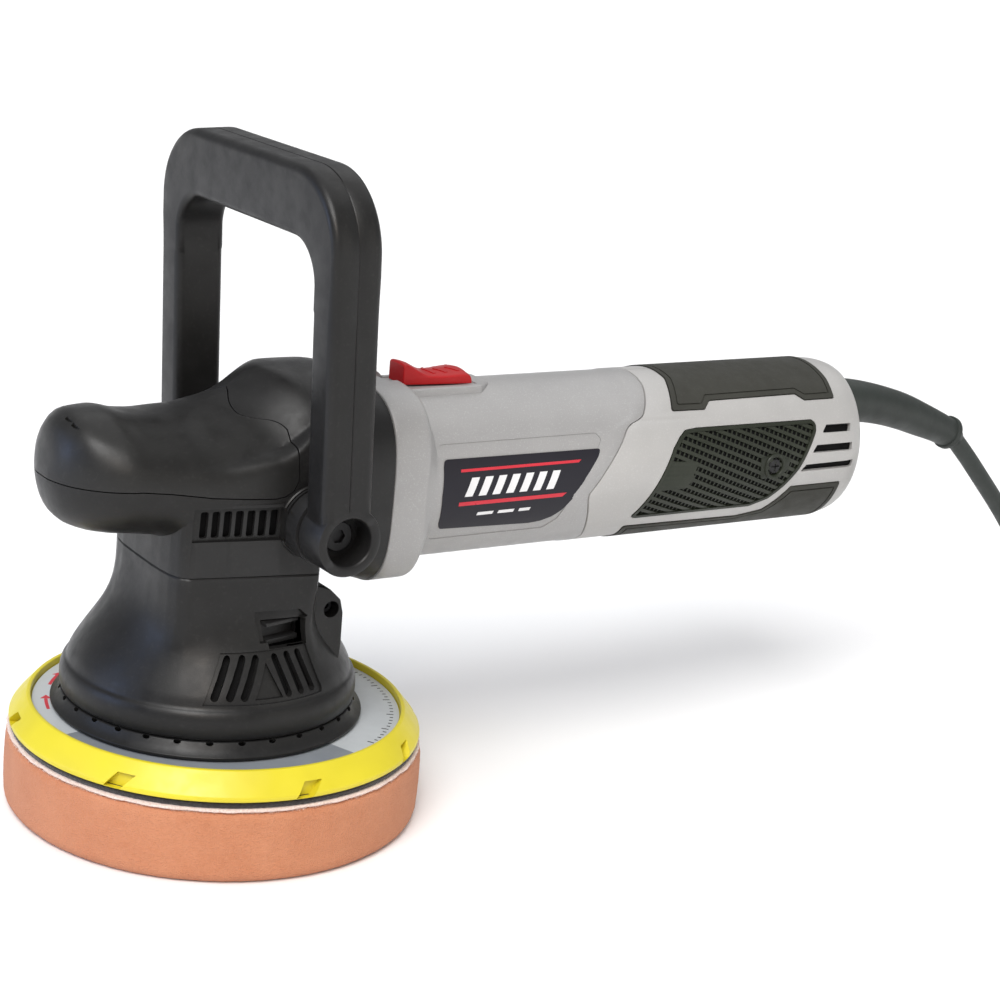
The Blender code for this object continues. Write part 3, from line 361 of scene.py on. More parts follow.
def lerp_tab(tab, x):
    if x <= tab[0][0]:
        return tab[0][1]
    for (a, va), (b, vb) in zip(tab, tab[1:]):
        if x <= b:
            return va + (vb - va) * (x - a) / (b - a)
    return tab[-1][1]


def cubic_tab(xs, ys):
    """Monotone-limited cubic through table points; returns a function of arrays."""
    xs, ys = np.array(xs, float), np.array(ys, float)
    h = np.diff(xs)
    d = np.diff(ys) / h
    m = np.zeros(len(xs))
    m[0], m[-1] = d[0], d[-1]
    for i in range(1, len(xs) - 1):
        if d[i - 1] * d[i] > 0:
            m[i] = (h[i - 1] * d[i] + h[i] * d[i - 1]) / (h[i - 1] + h[i])
    for i in range(len(d)):
        if abs(d[i]) > 1e-9:
            a, b = m[i] / d[i], m[i + 1] / d[i]
            s = math.hypot(a, b)
            if s > 3:
                m[i], m[i + 1] = 3 * a / s * d[i], 3 * b / s * d[i]

    def f(x):
        x = np.clip(np.asarray(x, float), xs[0], xs[-1])
        i = np.clip(np.searchsorted(xs, x) - 1, 0, len(h) - 1)
        t = (x - xs[i]) / h[i]
        return ((2 * t**3 - 3 * t**2 + 1) * ys[i] + (t**3 - 2 * t**2 + t) * h[i] * m[i]
                + (-2 * t**3 + 3 * t**2) * ys[i + 1] + (t**3 - t**2) * h[i] * m[i + 1])
    return f


def smoothstep(t):
    t = np.clip(t, 0, 1)
    return t * t * (3 - 2 * t)


def catmull(pts, step):
    P = [Vector(p) for p in pts]
    P = [P[0] * 2 - P[1]] + P + [P[-1] * 2 - P[-2]]
    out = []
    for i in range(1, len(P) - 2):
        n = max(2, round((P[i + 1] - P[i]).length / step))
        for k in range(n):
            t = k / n
            out.append(0.5 * ((2 * P[i]) + (P[i + 1] - P[i - 1]) * t + (2 * P[i - 1] - 5 * P[i] + 4 * P[i + 1] - P[i + 2]) * t * t
                              + (3 * P[i] - P[i - 1] - 3 * P[i + 1] + P[i + 2]) * t ** 3))
    out.append(P[-2])
    return out


# ============================================================ dimensions shared with the frame
ECC = (4.0, -1.0)
ZB = 120.7
BR, BR_IN = 33.4, 30.4
COL_A, COL_B, COL_N = 35.0, 37.0, 3.4
X_RIM, X_STEP0, X_STEP1 = 51.0, 66.0, 71.5
PIV = (16.6, 116.8)
H_TILT = math.radians(-2.7)
LOCK_AZ = math.radians(-78.0)
NOTCH_DEG = (165.4, -144.2, -92.3, -51.7, -19.7, 25.0, 70.0, 115.0)
CORD_D = 8.0
COIL_C = (526.5, -54.0)
ROUTE = [(367.6, 0.0, 113.9), (379.5, 0.0, 103.0), (392.5, 0.0, 90.3), (406.0, 0.0, 76.8), (424.0, 0.5, 57.5), (442.5, 1.8, 37.8),
         (461.0, 4.0, 19.6), (473.0, 5.6, 10.9), (484.5, 7.0, 5.9)]
BOOT = [(279.5, 136.2, 8.6), (289.9, 136.0, 8.9), (299.0, 134.9, 9.2), (310.0, 133.3, 8.8), (321.5, 130.9, 8.4), (333.0, 127.7, 8.1),
        (344.0, 123.8, 7.6), (354.0, 120.2, 7.0), (362.2, 116.9, 6.6)]


# ============================================================ materials
def node_mat(name):
    m = bpy.data.materials.new(name)
    m.use_nodes = True
    nt = m.node_tree
    return m, nt, nt.nodes["Principled BSDF"]


def tex_noise(nt, coord, scale, detail=2.0, rough=0.5, dim='3D'):
    n = nt.nodes.new("ShaderNodeTexNoise")
    n.inputs["Scale"].default_value = scale
    n.inputs["Detail"].default_value = detail
    n.inputs["Roughness"].default_value = rough
    nt.links.new(coord, n.inputs["Vector"])
    return n


def ramp(nt, src, lo, hi, c0, c1):
    r = nt.nodes.new("ShaderNodeValToRGB")
    r.color_ramp.elements[0].position = lo
    r.color_ramp.elements[1].position = hi
    r.color_ramp.elements[0].color = (*c0, 1)
    r.color_ramp.elements[1].color = (*c1, 1)
    nt.links.new(src, r.inputs["Fac"])
    return r.outputs["Color"]


def map_range(nt, src, a, b, c, d):
    r = nt.nodes.new("ShaderNodeMapRange")
    r.inputs["From Min"].default_value = a
    r.inputs["From Max"].default_value = b
    r.inputs["To Min"].default_value = c
    r.inputs["To Max"].default_value = d
    nt.links.new(src, r.inputs["Value"])
    return r.outputs["Result"]


def mix_rgb(nt, fac, a, b, mode='MIX'):
    n = nt.nodes.new("ShaderNodeMix")
    n.data_type = 'RGBA'
    n.blend_type = mode
    for sock, v in ((n.inputs["Factor"], fac), (n.inputs[6], a), (n.inputs[7], b)):
        if isinstance(v, (int, float)):
            sock.default_value = v
        elif isinstance(v, tuple):
            sock.default_value = (*v, 1)
        else:
            nt.links.new(v, sock)
    return n.outputs[2]


def bump(nt, height, strength, dist, normal=None):
    b = nt.nodes.new("ShaderNodeBump")
    b.inputs["Strength"].default_value = strength
    b.inputs["Distance"].default_value = dist
    nt.links.new(height, b.inputs["Height"])
    if normal is not None:
        nt.links.new(normal, b.inputs["Normal"])
    return b.outputs["Normal"]


def plastic(name, col, rough, var=0.12, tint=None, grain=2600.0, grain_s=0.16, wave=60.0, wave_s=0.0, rough_var=0.08, metal=0.0,
            fleck=None, edge=None, spec=0.5, coat=0.0):
    """Moulded plastic: broad colour drift, fine spark-eroded grain, uneven gloss."""
    m, nt, sh = node_mat(name)
    tc = nt.nodes.new("ShaderNodeTexCoord").outputs["Object"]
    broad = tex_noise(nt, tc, 28.0, 3.0, 0.55)
    c0 = tuple(max(0, c * (1 - var)) for c in col)
    c1 = tuple(min(1, c * (1 + var) + (tint[k] if tint else 0)) for k, c in enumerate(col))
    colour = ramp(nt, broad.outputs["Fac"], 0.35, 0.68, c0, c1)
    if fleck:
        fl = tex_noise(nt, tc, fleck[0], 1.0, 0.5)
        k = map_range(nt, fl.outputs["Fac"], 0.58, 0.75, 0.0, fleck[1])
        colour = mix_rgb(nt, k, colour, fleck[2])
    # convex edges, found by pointiness, are mixed lighter: a painted edge highlight, partly edge wear
    if edge:
        geo = nt.nodes.new("ShaderNodeNewGeometry")
        k = map_range(nt, geo.outputs["Pointiness"], 0.52, 0.62, 0.0, edge[0])
        colour = mix_rgb(nt, k, colour, edge[1])
    nt.links.new(colour, sh.inputs["Base Color"])
    rn = tex_noise(nt, tc, 140.0, 3.0, 0.6)
    nt.links.new(map_range(nt, rn.outputs["Fac"], 0.3, 0.7, rough - rough_var, rough + rough_var), sh.inputs["Roughness"])
    gn = tex_noise(nt, tc, grain, 3.0, 0.65)
    nrm = bump(nt, gn.outputs["Fac"], grain_s, 0.00012)
    if wave_s:
        wn = tex_noise(nt, tc, wave, 1.0, 0.4)
        nrm = bump(nt, wn.outputs["Fac"], wave_s, 0.0006, nrm)
    nt.links.new(nrm, sh.inputs["Normal"])
    sh.inputs["Metallic"].default_value = metal
    sh.inputs["Specular IOR Level"].default_value = spec
    if coat:
        sh.inputs["Coat Weight"].default_value = coat
        sh.inputs["Coat Roughness"].default_value = 0.25
    return m


def foam_mat():
    """Open-cell polishing foam: pores, blotches of denser colour, soft nap."""
    m, nt, sh = node_mat("foam")
    tc = nt.nodes.new("ShaderNodeTexCoord").outputs["Object"]
    vor = nt.nodes.new("ShaderNodeTexVoronoi")
    vor.inputs["Scale"].default_value = 1500.0
    vor.inputs["Randomness"].default_value = 1.0
    nt.links.new(tc, vor.inputs["Vector"])
    pore = map_range(nt, vor.outputs["Distance"], 0.1, 0.75, 0.0, 1.0)
    broad = tex_noise(nt, tc, 55.0, 4.0, 0.6)
    fine = tex_noise(nt, tc, 650.0, 4.0, 0.7)
    base = ramp(nt, broad.outputs["Fac"], 0.3, 0.72, (0.490, 0.190, 0.094), (0.550, 0.232, 0.122))
    base = mix_rgb(nt, map_range(nt, fine.outputs["Fac"], 0.35, 0.7, 0.0, 0.30), base, (0.60, 0.285, 0.170))
    # dots at the pore centres are mixed darker: painted shade inside the open cells
    base = mix_rgb(nt, map_range(nt, vor.outputs["Distance"], 0.0, 0.30, 0.45, 0.0), base, (0.33, 0.105, 0.050))
    # the lowest 4 mm of the side wall is mixed towards a darker tone
    sep = nt.nodes.new("ShaderNodeSeparateXYZ")
    nt.links.new(tc, sep.inputs[0])
    edge = map_range(nt, sep.outputs["Z"], 0.0, 0.004, 0.35, 0.0)
    base = mix_rgb(nt, edge, base, (0.43, 0.172, 0.092))
    nt.links.new(base, sh.inputs["Base Color"])
    sh.inputs["Roughness"].default_value = 0.95
    sh.inputs["Specular IOR Level"].default_value = 0.15
    sh.inputs["Sheen Weight"].default_value = 0.1
    sh.inputs["Sheen Roughness"].default_value = 0.6
    nrm = bump(nt, pore, 0.55, 0.0004)
    nrm = bump(nt, fine.outputs["Fac"], 0.35, 0.0006, nrm)
    nt.links.new(nrm, sh.inputs["Normal"])
    return m


def fabric_mat(name, c0, c1, scale=1800.0, strength=0.6):
    m, nt, sh = node_mat(name)
    tc = nt.nodes.new("ShaderNodeTexCoord").outputs["Object"]
    n = tex_noise(nt, tc, scale, 4.0, 0.75)
    nt.links.new(ramp(nt, n.outputs["Fac"], 0.32, 0.68, c0, c1), sh.inputs["Base Color"])
    sh.inputs["Roughness"].default_value = 0.95
    sh.inputs["Specular IOR Level"].default_value = 0.1
    sh.inputs["Sheen Weight"].default_value = 0.4
    nt.links.new(bump(nt, n.outputs["Fac"], strength, 0.0005), sh.inputs["Normal"])
    return m


def metal_mat(name, col, rough, stretch=(1, 1, 1), scale=900.0, var=0.15):
    """Turned or ground metal with fine directional marks and uneven gloss."""
    m, nt, sh = node_mat(name)
    tc = nt.nodes.new("ShaderNodeTexCoord").outputs["Object"]
    mp = nt.nodes.new("ShaderNodeMapping")
    mp.inputs["Scale"].default_value = stretch
    nt.links.new(tc, mp.inputs["Vector"])
    n = tex_noise(nt, mp.outputs["Vector"], scale, 4.0, 0.6)
    b = tex_noise(nt, tc, 90.0, 3.0, 0.5)
    nt.links.new(ramp(nt, b.outputs["Fac"], 0.3, 0.7, tuple(c * (1 - var) for c in col), tuple(min(1, c * (1 + var)) for c in col)), sh.inputs["Base Color"])
    nt.links.new(map_range(nt, n.outputs["Fac"], 0.3, 0.7, rough - 0.08, rough + 0.1), sh.inputs["Roughness"])
    nt.links.new(bump(nt, n.outputs["Fac"], 0.2, 0.00008), sh.inputs["Normal"])
    sh.inputs["Metallic"].default_value = 1.0
    return m


def plate_label_mat():
    """Pale grey printed ring; the sector facing the front is painted darker as painted shade."""
    m, nt, sh = node_mat("label_grey")
    tc = nt.nodes.new("ShaderNodeTexCoord").outputs["Object"]
    mp = nt.nodes.new("ShaderNodeMapping")
    mp.inputs["Location"].default_value = (-0.004, 0.001, 0)
    nt.links.new(tc, mp.inputs["Vector"])
    gr = nt.nodes.new("ShaderNodeTexGradient")
    gr.gradient_type = 'RADIAL'
    nt.links.new(mp.outputs["Vector"], gr.inputs["Vector"])
    a0, a1 = (-172 + 360) / 360.0, (-70 + 360) / 360.0
    g = nt.nodes.new("ShaderNodeMath")
    g.operation = 'GREATER_THAN'
    g.inputs[1].default_value = 0.5
    # band from -172 to -70 degrees, facing the front, painted darker: painted shade on the ring
    front_shade_ramp = nt.nodes.new("ShaderNodeValToRGB")
    front_shade_ramp.color_ramp.interpolation = 'CONSTANT'
    els = front_shade_ramp.color_ramp.elements
    els[0].position = 0.0
    els[0].color = (0.50, 0.53, 0.55, 1)
    els[1].position = (180 - 172) / 360.0 + 0.0
    els[1].color = (0.215, 0.235, 0.26, 1)
    e = els.new((180 - 70) / 360.0)
    e.color = (0.50, 0.53, 0.55, 1)
    nt.nodes.remove(g)
    nt.links.new(gr.outputs["Fac"], front_shade_ramp.inputs["Fac"])
    n = tex_noise(nt, tc, 120.0, 3.0, 0.6)
    base = mix_rgb(nt, map_range(nt, n.outputs["Fac"], 0.4, 0.75, 0.0, 0.18), front_shade_ramp.outputs["Color"], (0.36, 0.37, 0.39))
    nt.links.new(base, sh.inputs["Base Color"])
    nt.links.new(map_range(nt, n.outputs["Fac"], 0.3, 0.7, 0.3, 0.45), sh.inputs["Roughness"])
    fn = tex_noise(nt, tc, 900.0, 2.0, 0.5)
    nt.links.new(bump(nt, fn.outputs["Fac"], 0.06, 0.0001), sh.inputs["Normal"])
    return m


def laminate_mat():
    m, nt, sh = node_mat("laminate")
    tc = nt.nodes.new("ShaderNodeTexCoord").outputs["Object"]
    w = nt.nodes.new("ShaderNodeTexWave")
    w.bands_direction = 'X'
    w.inputs["Scale"].default_value = 300.0
    nt.links.new(tc, w.inputs["Vector"])
    nt.links.new(ramp(nt, w.outputs["Fac"], 0.2, 0.8, (0.2, 0.2, 0.21), (0.42, 0.42, 0.43)), sh.inputs["Base Color"])
    nt.links.new(bump(nt, w.outputs["Fac"], 0.4, 0.0001), sh.inputs["Normal"])
    sh.inputs["Metallic"].default_value = 1.0
    sh.inputs["Roughness"].default_value = 0.5
    return m


MAT = {
    'foam': foam_mat(),
    'fleece': fabric_mat("fleece", (0.70, 0.50, 0.43), (0.92, 0.80, 0.74), 1500.0, 0.8),
    'hook_black': fabric_mat("hook_black", (0.012, 0.010, 0.010), (0.05, 0.045, 0.045), 1300.0, 0.8),
    'plate_yellow': plastic("plate_yellow", (0.66, 0.56, 0.021), 0.40, 0.06, grain=1500.0, grain_s=0.10, rough_var=0.08),
    'label_grey': plate_label_mat(),
    'steel': metal_mat("steel", (0.55, 0.56, 0.58), 0.32, (1, 1, 6)),
    'cast_alu': metal_mat("cast_alu", (0.50, 0.51, 0.53), 0.5, (1, 1, 1), 500.0),
    'black_plastic': plastic("black_plastic", (0.0090, 0.0087, 0.0088), 0.40, 0.12, tint=(0.002, 0.002, 0.0015), grain=2300.0, grain_s=0.22,
                             wave=45.0, wave_s=0.05, rough_var=0.08, fleck=(700.0, 0.18, (0.032, 0.031, 0.030)), edge=(0.5, (0.03, 0.03, 0.031)), spec=0.30),
    'soft_black': plastic("soft_black", (0.0100, 0.0097, 0.0095), 0.41, 0.12, tint=(0.002, 0.002, 0.0015), grain=2000.0, grain_s=0.20,
                          wave=45.0, wave_s=0.05, rough_var=0.07, fleck=(600.0, 0.18, (0.034, 0.033, 0.032)), edge=(0.5, (0.03, 0.03, 0.031)), spec=0.34),
    'grey_plastic': plastic("grey_plastic", (0.325, 0.321, 0.320), 0.40, 0.05, grain=2600.0, grain_s=0.10, rough_var=0.06, metal=0.15,
                            fleck=(1900.0, 0.35, (0.52, 0.52, 0.52))),
    'light_grey': plastic("light_grey", (0.400, 0.394, 0.386), 0.42, 0.05, grain=2600.0, grain_s=0.12, rough_var=0.06, metal=0.1,
                          fleck=(1700.0, 0.25, (0.58, 0.58, 0.57))),
    'grip_rubber': plastic("grip_rubber", (0.030, 0.030, 0.024), 0.66, 0.12, grain=1500.0, grain_s=0.45, rough_var=0.08,
                           fleck=(900.0, 0.25, (0.055, 0.055, 0.046)), spec=0.35),
    'grille_green': plastic("grille_green", (0.010, 0.013, 0.007), 0.46, 0.2, grain=1800.0, grain_s=0.3, rough_var=0.08,
                            fleck=(800.0, 0.2, (0.03, 0.034, 0.024)), edge=(0.35, (0.045, 0.05, 0.036)), spec=0.30),
    'switch_red': plastic("switch_red", (0.38, 0.004, 0.006), 0.42, 0.10, grain=1700.0, grain_s=0.14, rough_var=0.07, spec=0.30),
    'label_black': plastic("label_black", (0.010, 0.009, 0.015), 0.34, 0.10, grain=900.0, grain_s=0.04, rough_var=0.05, spec=0.28),
    'copper': metal_mat("copper", (0.66, 0.30, 0.14), 0.35, (1, 8, 1), 700.0),
    'laminate': laminate_mat(),
    'cord_black': plastic("cord_black", (0.017, 0.022, 0.019), 0.52, 0.15, grain=1300.0, grain_s=0.3, rough_var=0.08,
                          fleck=(700.0, 0.2, (0.04, 0.045, 0.04))),
    'brass_pin': metal_mat("brass_pin", (0.70, 0.58, 0.34), 0.28, (8, 1, 1), 600.0),
    'module': plastic("module", (0.010, 0.010, 0.011), 0.50, 0.2, grain=1200.0, grain_s=0.3, spec=0.35),
    # near-black for sheets put behind vents, slots and the grille slats: painted shade
    'liner': plastic("liner", (0.004, 0.004, 0.0042), 0.75, 0.25, grain=1200.0, grain_s=0.3, spec=0.12),
    'ink_white': plastic("ink_white", (0.72, 0.72, 0.73), 0.4, 0.04, grain=1500.0, grain_s=0.04),
    'ink_red': plastic("ink_red", (0.55, 0.012, 0.03), 0.35, 0.06, grain=1500.0, grain_s=0.04),
    'ink_black': plastic("ink_black", (0.02, 0.02, 0.022), 0.4, 0.06, grain=1500.0, grain_s=0.04),
}
SLOT_OF = {s["node"]: s["material_slot"] for s in frame["record"]["subparts"]}


def finish_piece(ob, body, slot, mat=None, replaces=(), angle=30.0, smooth=True):
    ob.data.materials.clear()
    ob.data.materials.append(MAT[mat or slot])
    if smooth and ob.type == 'MESH':
        ob.data.shade_smooth()
        ob.data.set_sharp_from_angle(angle=math.radians(angle))
    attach(ob, body)
    if replaces:
        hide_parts(*replaces)
    return ob


# carried-over nodes take the node materials of their slot
for nm, ob in NODES.items():
    ob.data.materials.clear()
    ob.data.materials.append(MAT[SLOT_OF[nm]])


# ============================================================ cord: visible run, coil, plug
def coil_points():
    """Turns of a hand-wound coil: five on the floor, four on those, three more
    on top, each turn a circle with a short step to the next radius."""
    cx, cy = COIL_C
    z = (4.3, 11.7, 19.1)
    radii = [64.5, 56.5, 48.5, 40.5, 32.5, 36.5, 44.5, 52.5, 60.5, 56.5, 48.5, 40.5]
    layer = [0, 0, 0, 0, 0, 1, 1, 1, 1, 2, 2, 2]
    n = 16
    a0 = math.radians(97)
    pts = []
    for k, (r, l) in enumerate(zip(radii, layer)):
        last = k == len(radii) - 1
        r1 = r if last else radii[k + 1]
        z1 = z[l] if last else z[layer[k + 1]]
        steps = n if not last else 8
        for i in range(steps):
            t = i / n
            w = float(smoothstep((t - 0.55) / 0.45))
            rr = r + (r1 - r) * w
            zz = z[l] + (z1 - z[l]) * w
            a = a0 - 2 * math.pi * t
            pts.append(Vector((cx + rr * math.cos(a), cy + rr * math.sin(a), zz)))
    # leave the top turn on a slow rise and run into the plug heading +X
    aend = a0 - 2 * math.pi * 8 / n
    rc, R = 34.0, 40.5
    alpha = math.radians(-104.0)
    sweep = (aend - alpha) % (2 * math.pi)
    lead = R * sweep
    turn_a = math.radians(90.0) + (alpha + 2 * math.pi) - math.radians(180.0)
    arc = ((alpha - math.radians(90.0)) % (2 * math.pi))
    total = lead + rc * arc
    m1 = max(3, round(lead / 14.0))
    for i in range(m1):
        s = lead * i / m1
        a = aend - s / R
        pts.append(Vector((cx + R * math.cos(a), cy + R * math.sin(a), 19.1 + 12.5 * float(smoothstep(s / total)))))
    c2 = Vector((cx + (R - rc) * math.cos(alpha), cy + (R - rc) * math.sin(alpha), 0))
    m2 = max(6, round(rc * arc / 12.0))
    for i in range(m2 + 1):
        s = lead + rc * arc * i / m2
        a = alpha - arc * i / m2
        pts.append(Vector((c2.x + rc * math.cos(a), c2.y + rc * math.sin(a), 19.1 + 12.5 * float(smoothstep(s / total)))))
    end = pts[-1]
    return pts, end


coil, plug_at = coil_points()
free = catmull(ROUTE + [(501.0, 8.9, 4.35)], 9.0)
join_pts = [Vector((509.5, 9.7, 4.3))]
cord_path = free + join_pts + coil + [plug_at + Vector((6.0, 0, 0))]
cu = bpy.data.curves.new("mains_cord", 'CURVE')
cu.dimensions = '3D'
sp = cu.splines.new('POLY')
dense = catmull(cord_path, 4.0)
sp.points.add(len(dense) - 1)
for q, p in zip(sp.points, dense):
    q.co = (p.x * MM, p.y * MM, p.z * MM, 1)
cu.bevel_depth = CORD_D / 2 * MM
cu.bevel_resolution = 6
cu.use_fill_caps = True
cord = new_obj("mains_cord", cu)
cord.data.materials.append(MAT['cord_black'])


# ============================================================ pad group
def superangle(n, ex):
    return [2 * math.pi * (i + ex) / n for i in range(n)]


def make_foam():
    """Side wall with a slight belly, worn lower corner and uneven cut skin."""
    n = 320
    prof = [(0.0, 0.05), (40.0, 0.0), (68.0, 0.0), (72.0, 0.12), (73.7, 0.6), (74.8, 1.5), (75.5, 2.7), (75.85, 4.2)]
    for k in range(1, 17):
        t = k / 17
        prof.append((75.85 + 0.28 * math.sin(math.pi * t), 4.2 + 19.4 * t))
    prof += [(75.8, 23.8), (75.55, 24.9), (75.1, 25.7), (74.4, 26.2), (73.2, 26.4), (40.0, 26.4), (0.0, 26.4)]
    rng = np.random.default_rng(7)
    m = len(prof)
    ang = np.arange(n) * 2 * np.pi / n
    field = np.zeros((m, n))
    for f, amp in ((3, 0.10), (7, 0.07), (13, 0.06), (29, 0.05), (61, 0.045)):
        for _ in range(3):
            ph, tw = rng.uniform(0, 2 * np.pi), rng.uniform(-2.5, 2.5)
            field += amp / 1.7 * np.sin(f * ang[None, :] + ph + tw * np.linspace(0, 1, m)[:, None])
    field += rng.normal(0, 0.028, (m, n))
    verts, faces, idx = [], [], []
    for k, (r, z) in enumerate(prof):
        if r < 1e-6:
            verts.append((ECC[0], ECC[1], z))
            idx.append([len(verts) - 1] * n)
            continue
        base = len(verts)
        w = 1.0 if 2 < k < m - 3 else 0.0
        for i in range(n):
            rr = r + field[k, i] * w
            verts.append((ECC[0] + rr * math.cos(ang[i]), ECC[1] + rr * math.sin(ang[i]), z))
        idx.append([base + i for i in range(n)])
    for k in range(m - 1):
        a, b = idx[k], idx[k + 1]
        for i in range(n):
            j = (i + 1) % n
            f = []
            for v in (a[i], a[j], b[j], b[i]):
                if v not in f:
                    f.append(v)
            if len(f) > 2:
                faces.append(tuple(f))
    return mesh_obj('foam_block', verts, faces)


foam = finish_piece(make_foam(), 'pad', 'foam', replaces=('foam_pad',), angle=50)


def make_fleece():
    rng = np.random.default_rng(11)
    n = 360
    ang = np.arange(n) * 2 * np.pi / n
    wob = sum(0.16 * np.sin(f * ang + rng.uniform(0, 6.28)) for f in (5, 11, 23, 47)) + rng.normal(0, 0.10, n)
    prof = [(70.0, 26.62), (74.4, 26.6), (75.0, 26.78), (75.2, 27.1), (75.05, 27.45), (74.6, 27.68), (70.0, 27.7)]
    rings = []
    for r, z in prof:
        w = 1.0 if r > 74 else 0.0
        rings.append([(ECC[0] + (r + wob[i] * w) * math.cos(ang[i]), ECC[1] + (r + wob[i] * w) * math.sin(ang[i]), z) for i in range(n)])
    top = [[(ECC[0] + r * math.cos(a), ECC[1] + r * math.sin(a), z) for a in ang] for r, z in ((2.0, 27.7), (2.0, 26.62))]
    verts, faces = [], []
    allr = rings + top
    for r in allr:
        verts += r
    m = len(allr)
    for k in range(m):
        for i in range(n):
            j = (i + 1) % n
            faces.append((k * n + i, k * n + j, ((k + 1) % m) * n + j, ((k + 1) % m) * n + i))
    return mesh_obj('fleece_band', verts, faces)


def make_fuzz(name, count, r0, z_lo, z_hi, length, width, seed, droop):
    """Loose fibres standing out of the fleece edge: thin closed spikes."""
    rng = np.random.default_rng(seed)
    verts, faces = [], []
    for _ in range(count):
        a = rng.uniform(0, 2 * math.pi)
        z = rng.uniform(z_lo, z_hi)
        L = rng.uniform(*length)
        w = width * rng.uniform(0.7, 1.3)
        out = Vector((math.cos(a), math.sin(a), 0))
        side = Vector((-math.sin(a), math.cos(a), 0))
        p0 = Vector((ECC[0], ECC[1], 0)) + out * (r0 + rng.uniform(-0.3, 0.1)) + Vector((0, 0, z))
        p1 = p0 + out * L * 0.55 + side * rng.normal(0, 0.3) * L + Vector((0, 0, rng.uniform(-droop, 0.25) * L))
        p2 = p1 + out * L * 0.30 + side * rng.normal(0, 0.4) * L + Vector((0, 0, rng.uniform(-droop, 0.1) * L))
        b = len(verts)
        for p, k in ((p0, 1.0), (p1, 0.7)):
            for q in range(3):
                t = 2 * math.pi * q / 3
                verts.append(tuple(p + side * (w * k * math.cos(t)) + Vector((0, 0, w * k * math.sin(t)))))
        verts.append(tuple(p2))
        for q in range(3):
            r = (q + 1) % 3
            faces.append((b + q, b + r, b + 3 + r, b + 3 + q))
            faces.append((b + 3 + q, b + 3 + r, b + 6))
        faces.append((b + 2, b + 1, b))
    return mesh_obj(name, verts, faces)


finish_piece(make_fleece(), 'pad', 'fleece', replaces=('pad_fleece',), angle=60)
finish_piece(make_fuzz('fleece_fibres', 3400, 75.0, 26.7, 27.6, (0.35, 0.95), 0.05, 3, 0.5), 'pad', 'fleece', angle=60)


def make_hooks():
    """Hook layer: a disc whose rim is a row of tiny hooks."""
    n = 400
    rng = np.random.default_rng(5)
    ang = np.arange(n) * 2 * np.pi / n
    rad = 74.0 + np.where(np.arange(n) % 2 == 0, 0.35, 0.0) + rng.uniform(-0.1, 0.1, n)
    rings = []
    for k, z in ((0, 27.8), (1, 28.3), (1, 29.5), (0, 30.05)):
        rings.append([(ECC[0] + (rad[i] if k else 73.6) * math.cos(ang[i]), ECC[1] + (rad[i] if k else 73.6) * math.sin(ang[i]), z) for i in range(n)])
    return loft('hook_layer', rings)


finish_piece(make_hooks(), 'pad', 'hook_black', replaces=('hook_disc',), angle=60)


def make_plate():
    prof = [(0, 30.2), (73.9, 30.2), (75.0, 30.2), (75.0, 32.2), (69.0, 39.2), (68.3, 39.6), (67.55, 39.6), (67.4, 36.4), (19.0, 36.4), (18.0, 38.2),
            (5.4, 38.2), (5.4, 31.6), (0, 31.6)]
    prof = [(0, 30.2), (73.9, 30.2)] + rounded([(73.0, 30.2), (75.05, 30.25), (75.0, 32.2)], {1: 0.8})[1:-1] + \
        rounded([(75.05, 31.0), (75.0, 32.1), (70.9, 37.0)], {1: 1.4}, 6)[1:-1] + [(73.3, 34.4), (71.3, 36.7)] + \
        rounded([(70.4, 37.7), (68.9, 39.55), (67.7, 39.6)], {1: 1.0}, 6)[1:-1] + \
        rounded([(68.9, 39.6), (67.5, 39.6), (67.42, 37.5)], {1: 0.5}, 4)[1:-1] + [(67.4, 36.4), (19.0, 36.4), (18.0, 38.2), (5.4, 38.2), (5.4, 31.6), (0, 31.6)]
    plate = revolve('plate_moulding', prof, 240, 'Z', ECC)
    cuts = []
    for deg in NOTCH_DEG:
        # slanted notch: a short ramp that ends in an upright wall
        poly = [(-4.6, 30.4), (1.9, 30.4), (6.2, 35.6), (-0.6, 35.6)]
        b = prism('n', poly, 'YZ', 71.0, 79.0)
        turn(b, math.radians(-9), 'Y', (73, 0, 32.5))
        turn(b, math.radians(deg), 'Z', (0, 0, 0))
        b.data.transform(Matrix.Translation(Vector((ECC[0], ECC[1], 0)) * MM))
        cuts.append(b)
    cut(plate, merged('notches', cuts))
    return plate


finish_piece(make_plate(), 'pad', 'plate_yellow', replaces=('backing_plate',), angle=38)
ring = revolve('plate_print', [(26, 36.8), (66.9, 36.8), (67.1, 36.95), (67.0, 37.15), (26, 37.15)], 200, 'Z', ECC, ring=True)
finish_piece(ring, 'pad', 'label_grey', replaces=('plate_label',), angle=40)


def plate_marks():
    """Plain printed marks on the ring: a tick scale and two turning arrows."""
    def fm(a, r, d):
        t = math.radians(a)
        return (ECC[0] + r * math.cos(t), ECC[1] + r * math.sin(t), 37.15 + d)
    blk, red = [], []
    for k in range(27):
        a = -58 + 2.6 * k
        L = 2.6 if k % 5 == 0 else 1.3
        blk.append(sheet_solid('t', [(a - 0.22, 64.9 - L), (a + 0.22, 64.9 - L), (a + 0.22, 64.9), (a - 0.22, 64.9)], fm, 0.02, 0.09))
    for c, sgn in ((158.0, 1), (136.0, 1)):
        pts = [(c + k * 1.5, 62.6) for k in range(7)] + [(c + k * 1.5, 61.4) for k in range(6, -1, -1)]
        red.append(sheet_solid('a', pts, fm, 0.02, 0.09, step_u=2.0))
        red.append(sheet_solid('h', [(c - 0.3, 64.0), (c - 3.4, 62.0), (c - 0.3, 60.0)], fm, 0.02, 0.09))
    a = merged('print_ticks', blk)
    b = merged('print_arrows', red)
    finish_piece(a, 'pad', 'label_grey', 'ink_black')
    finish_piece(b, 'pad', 'label_grey', 'ink_red')


plate_marks()


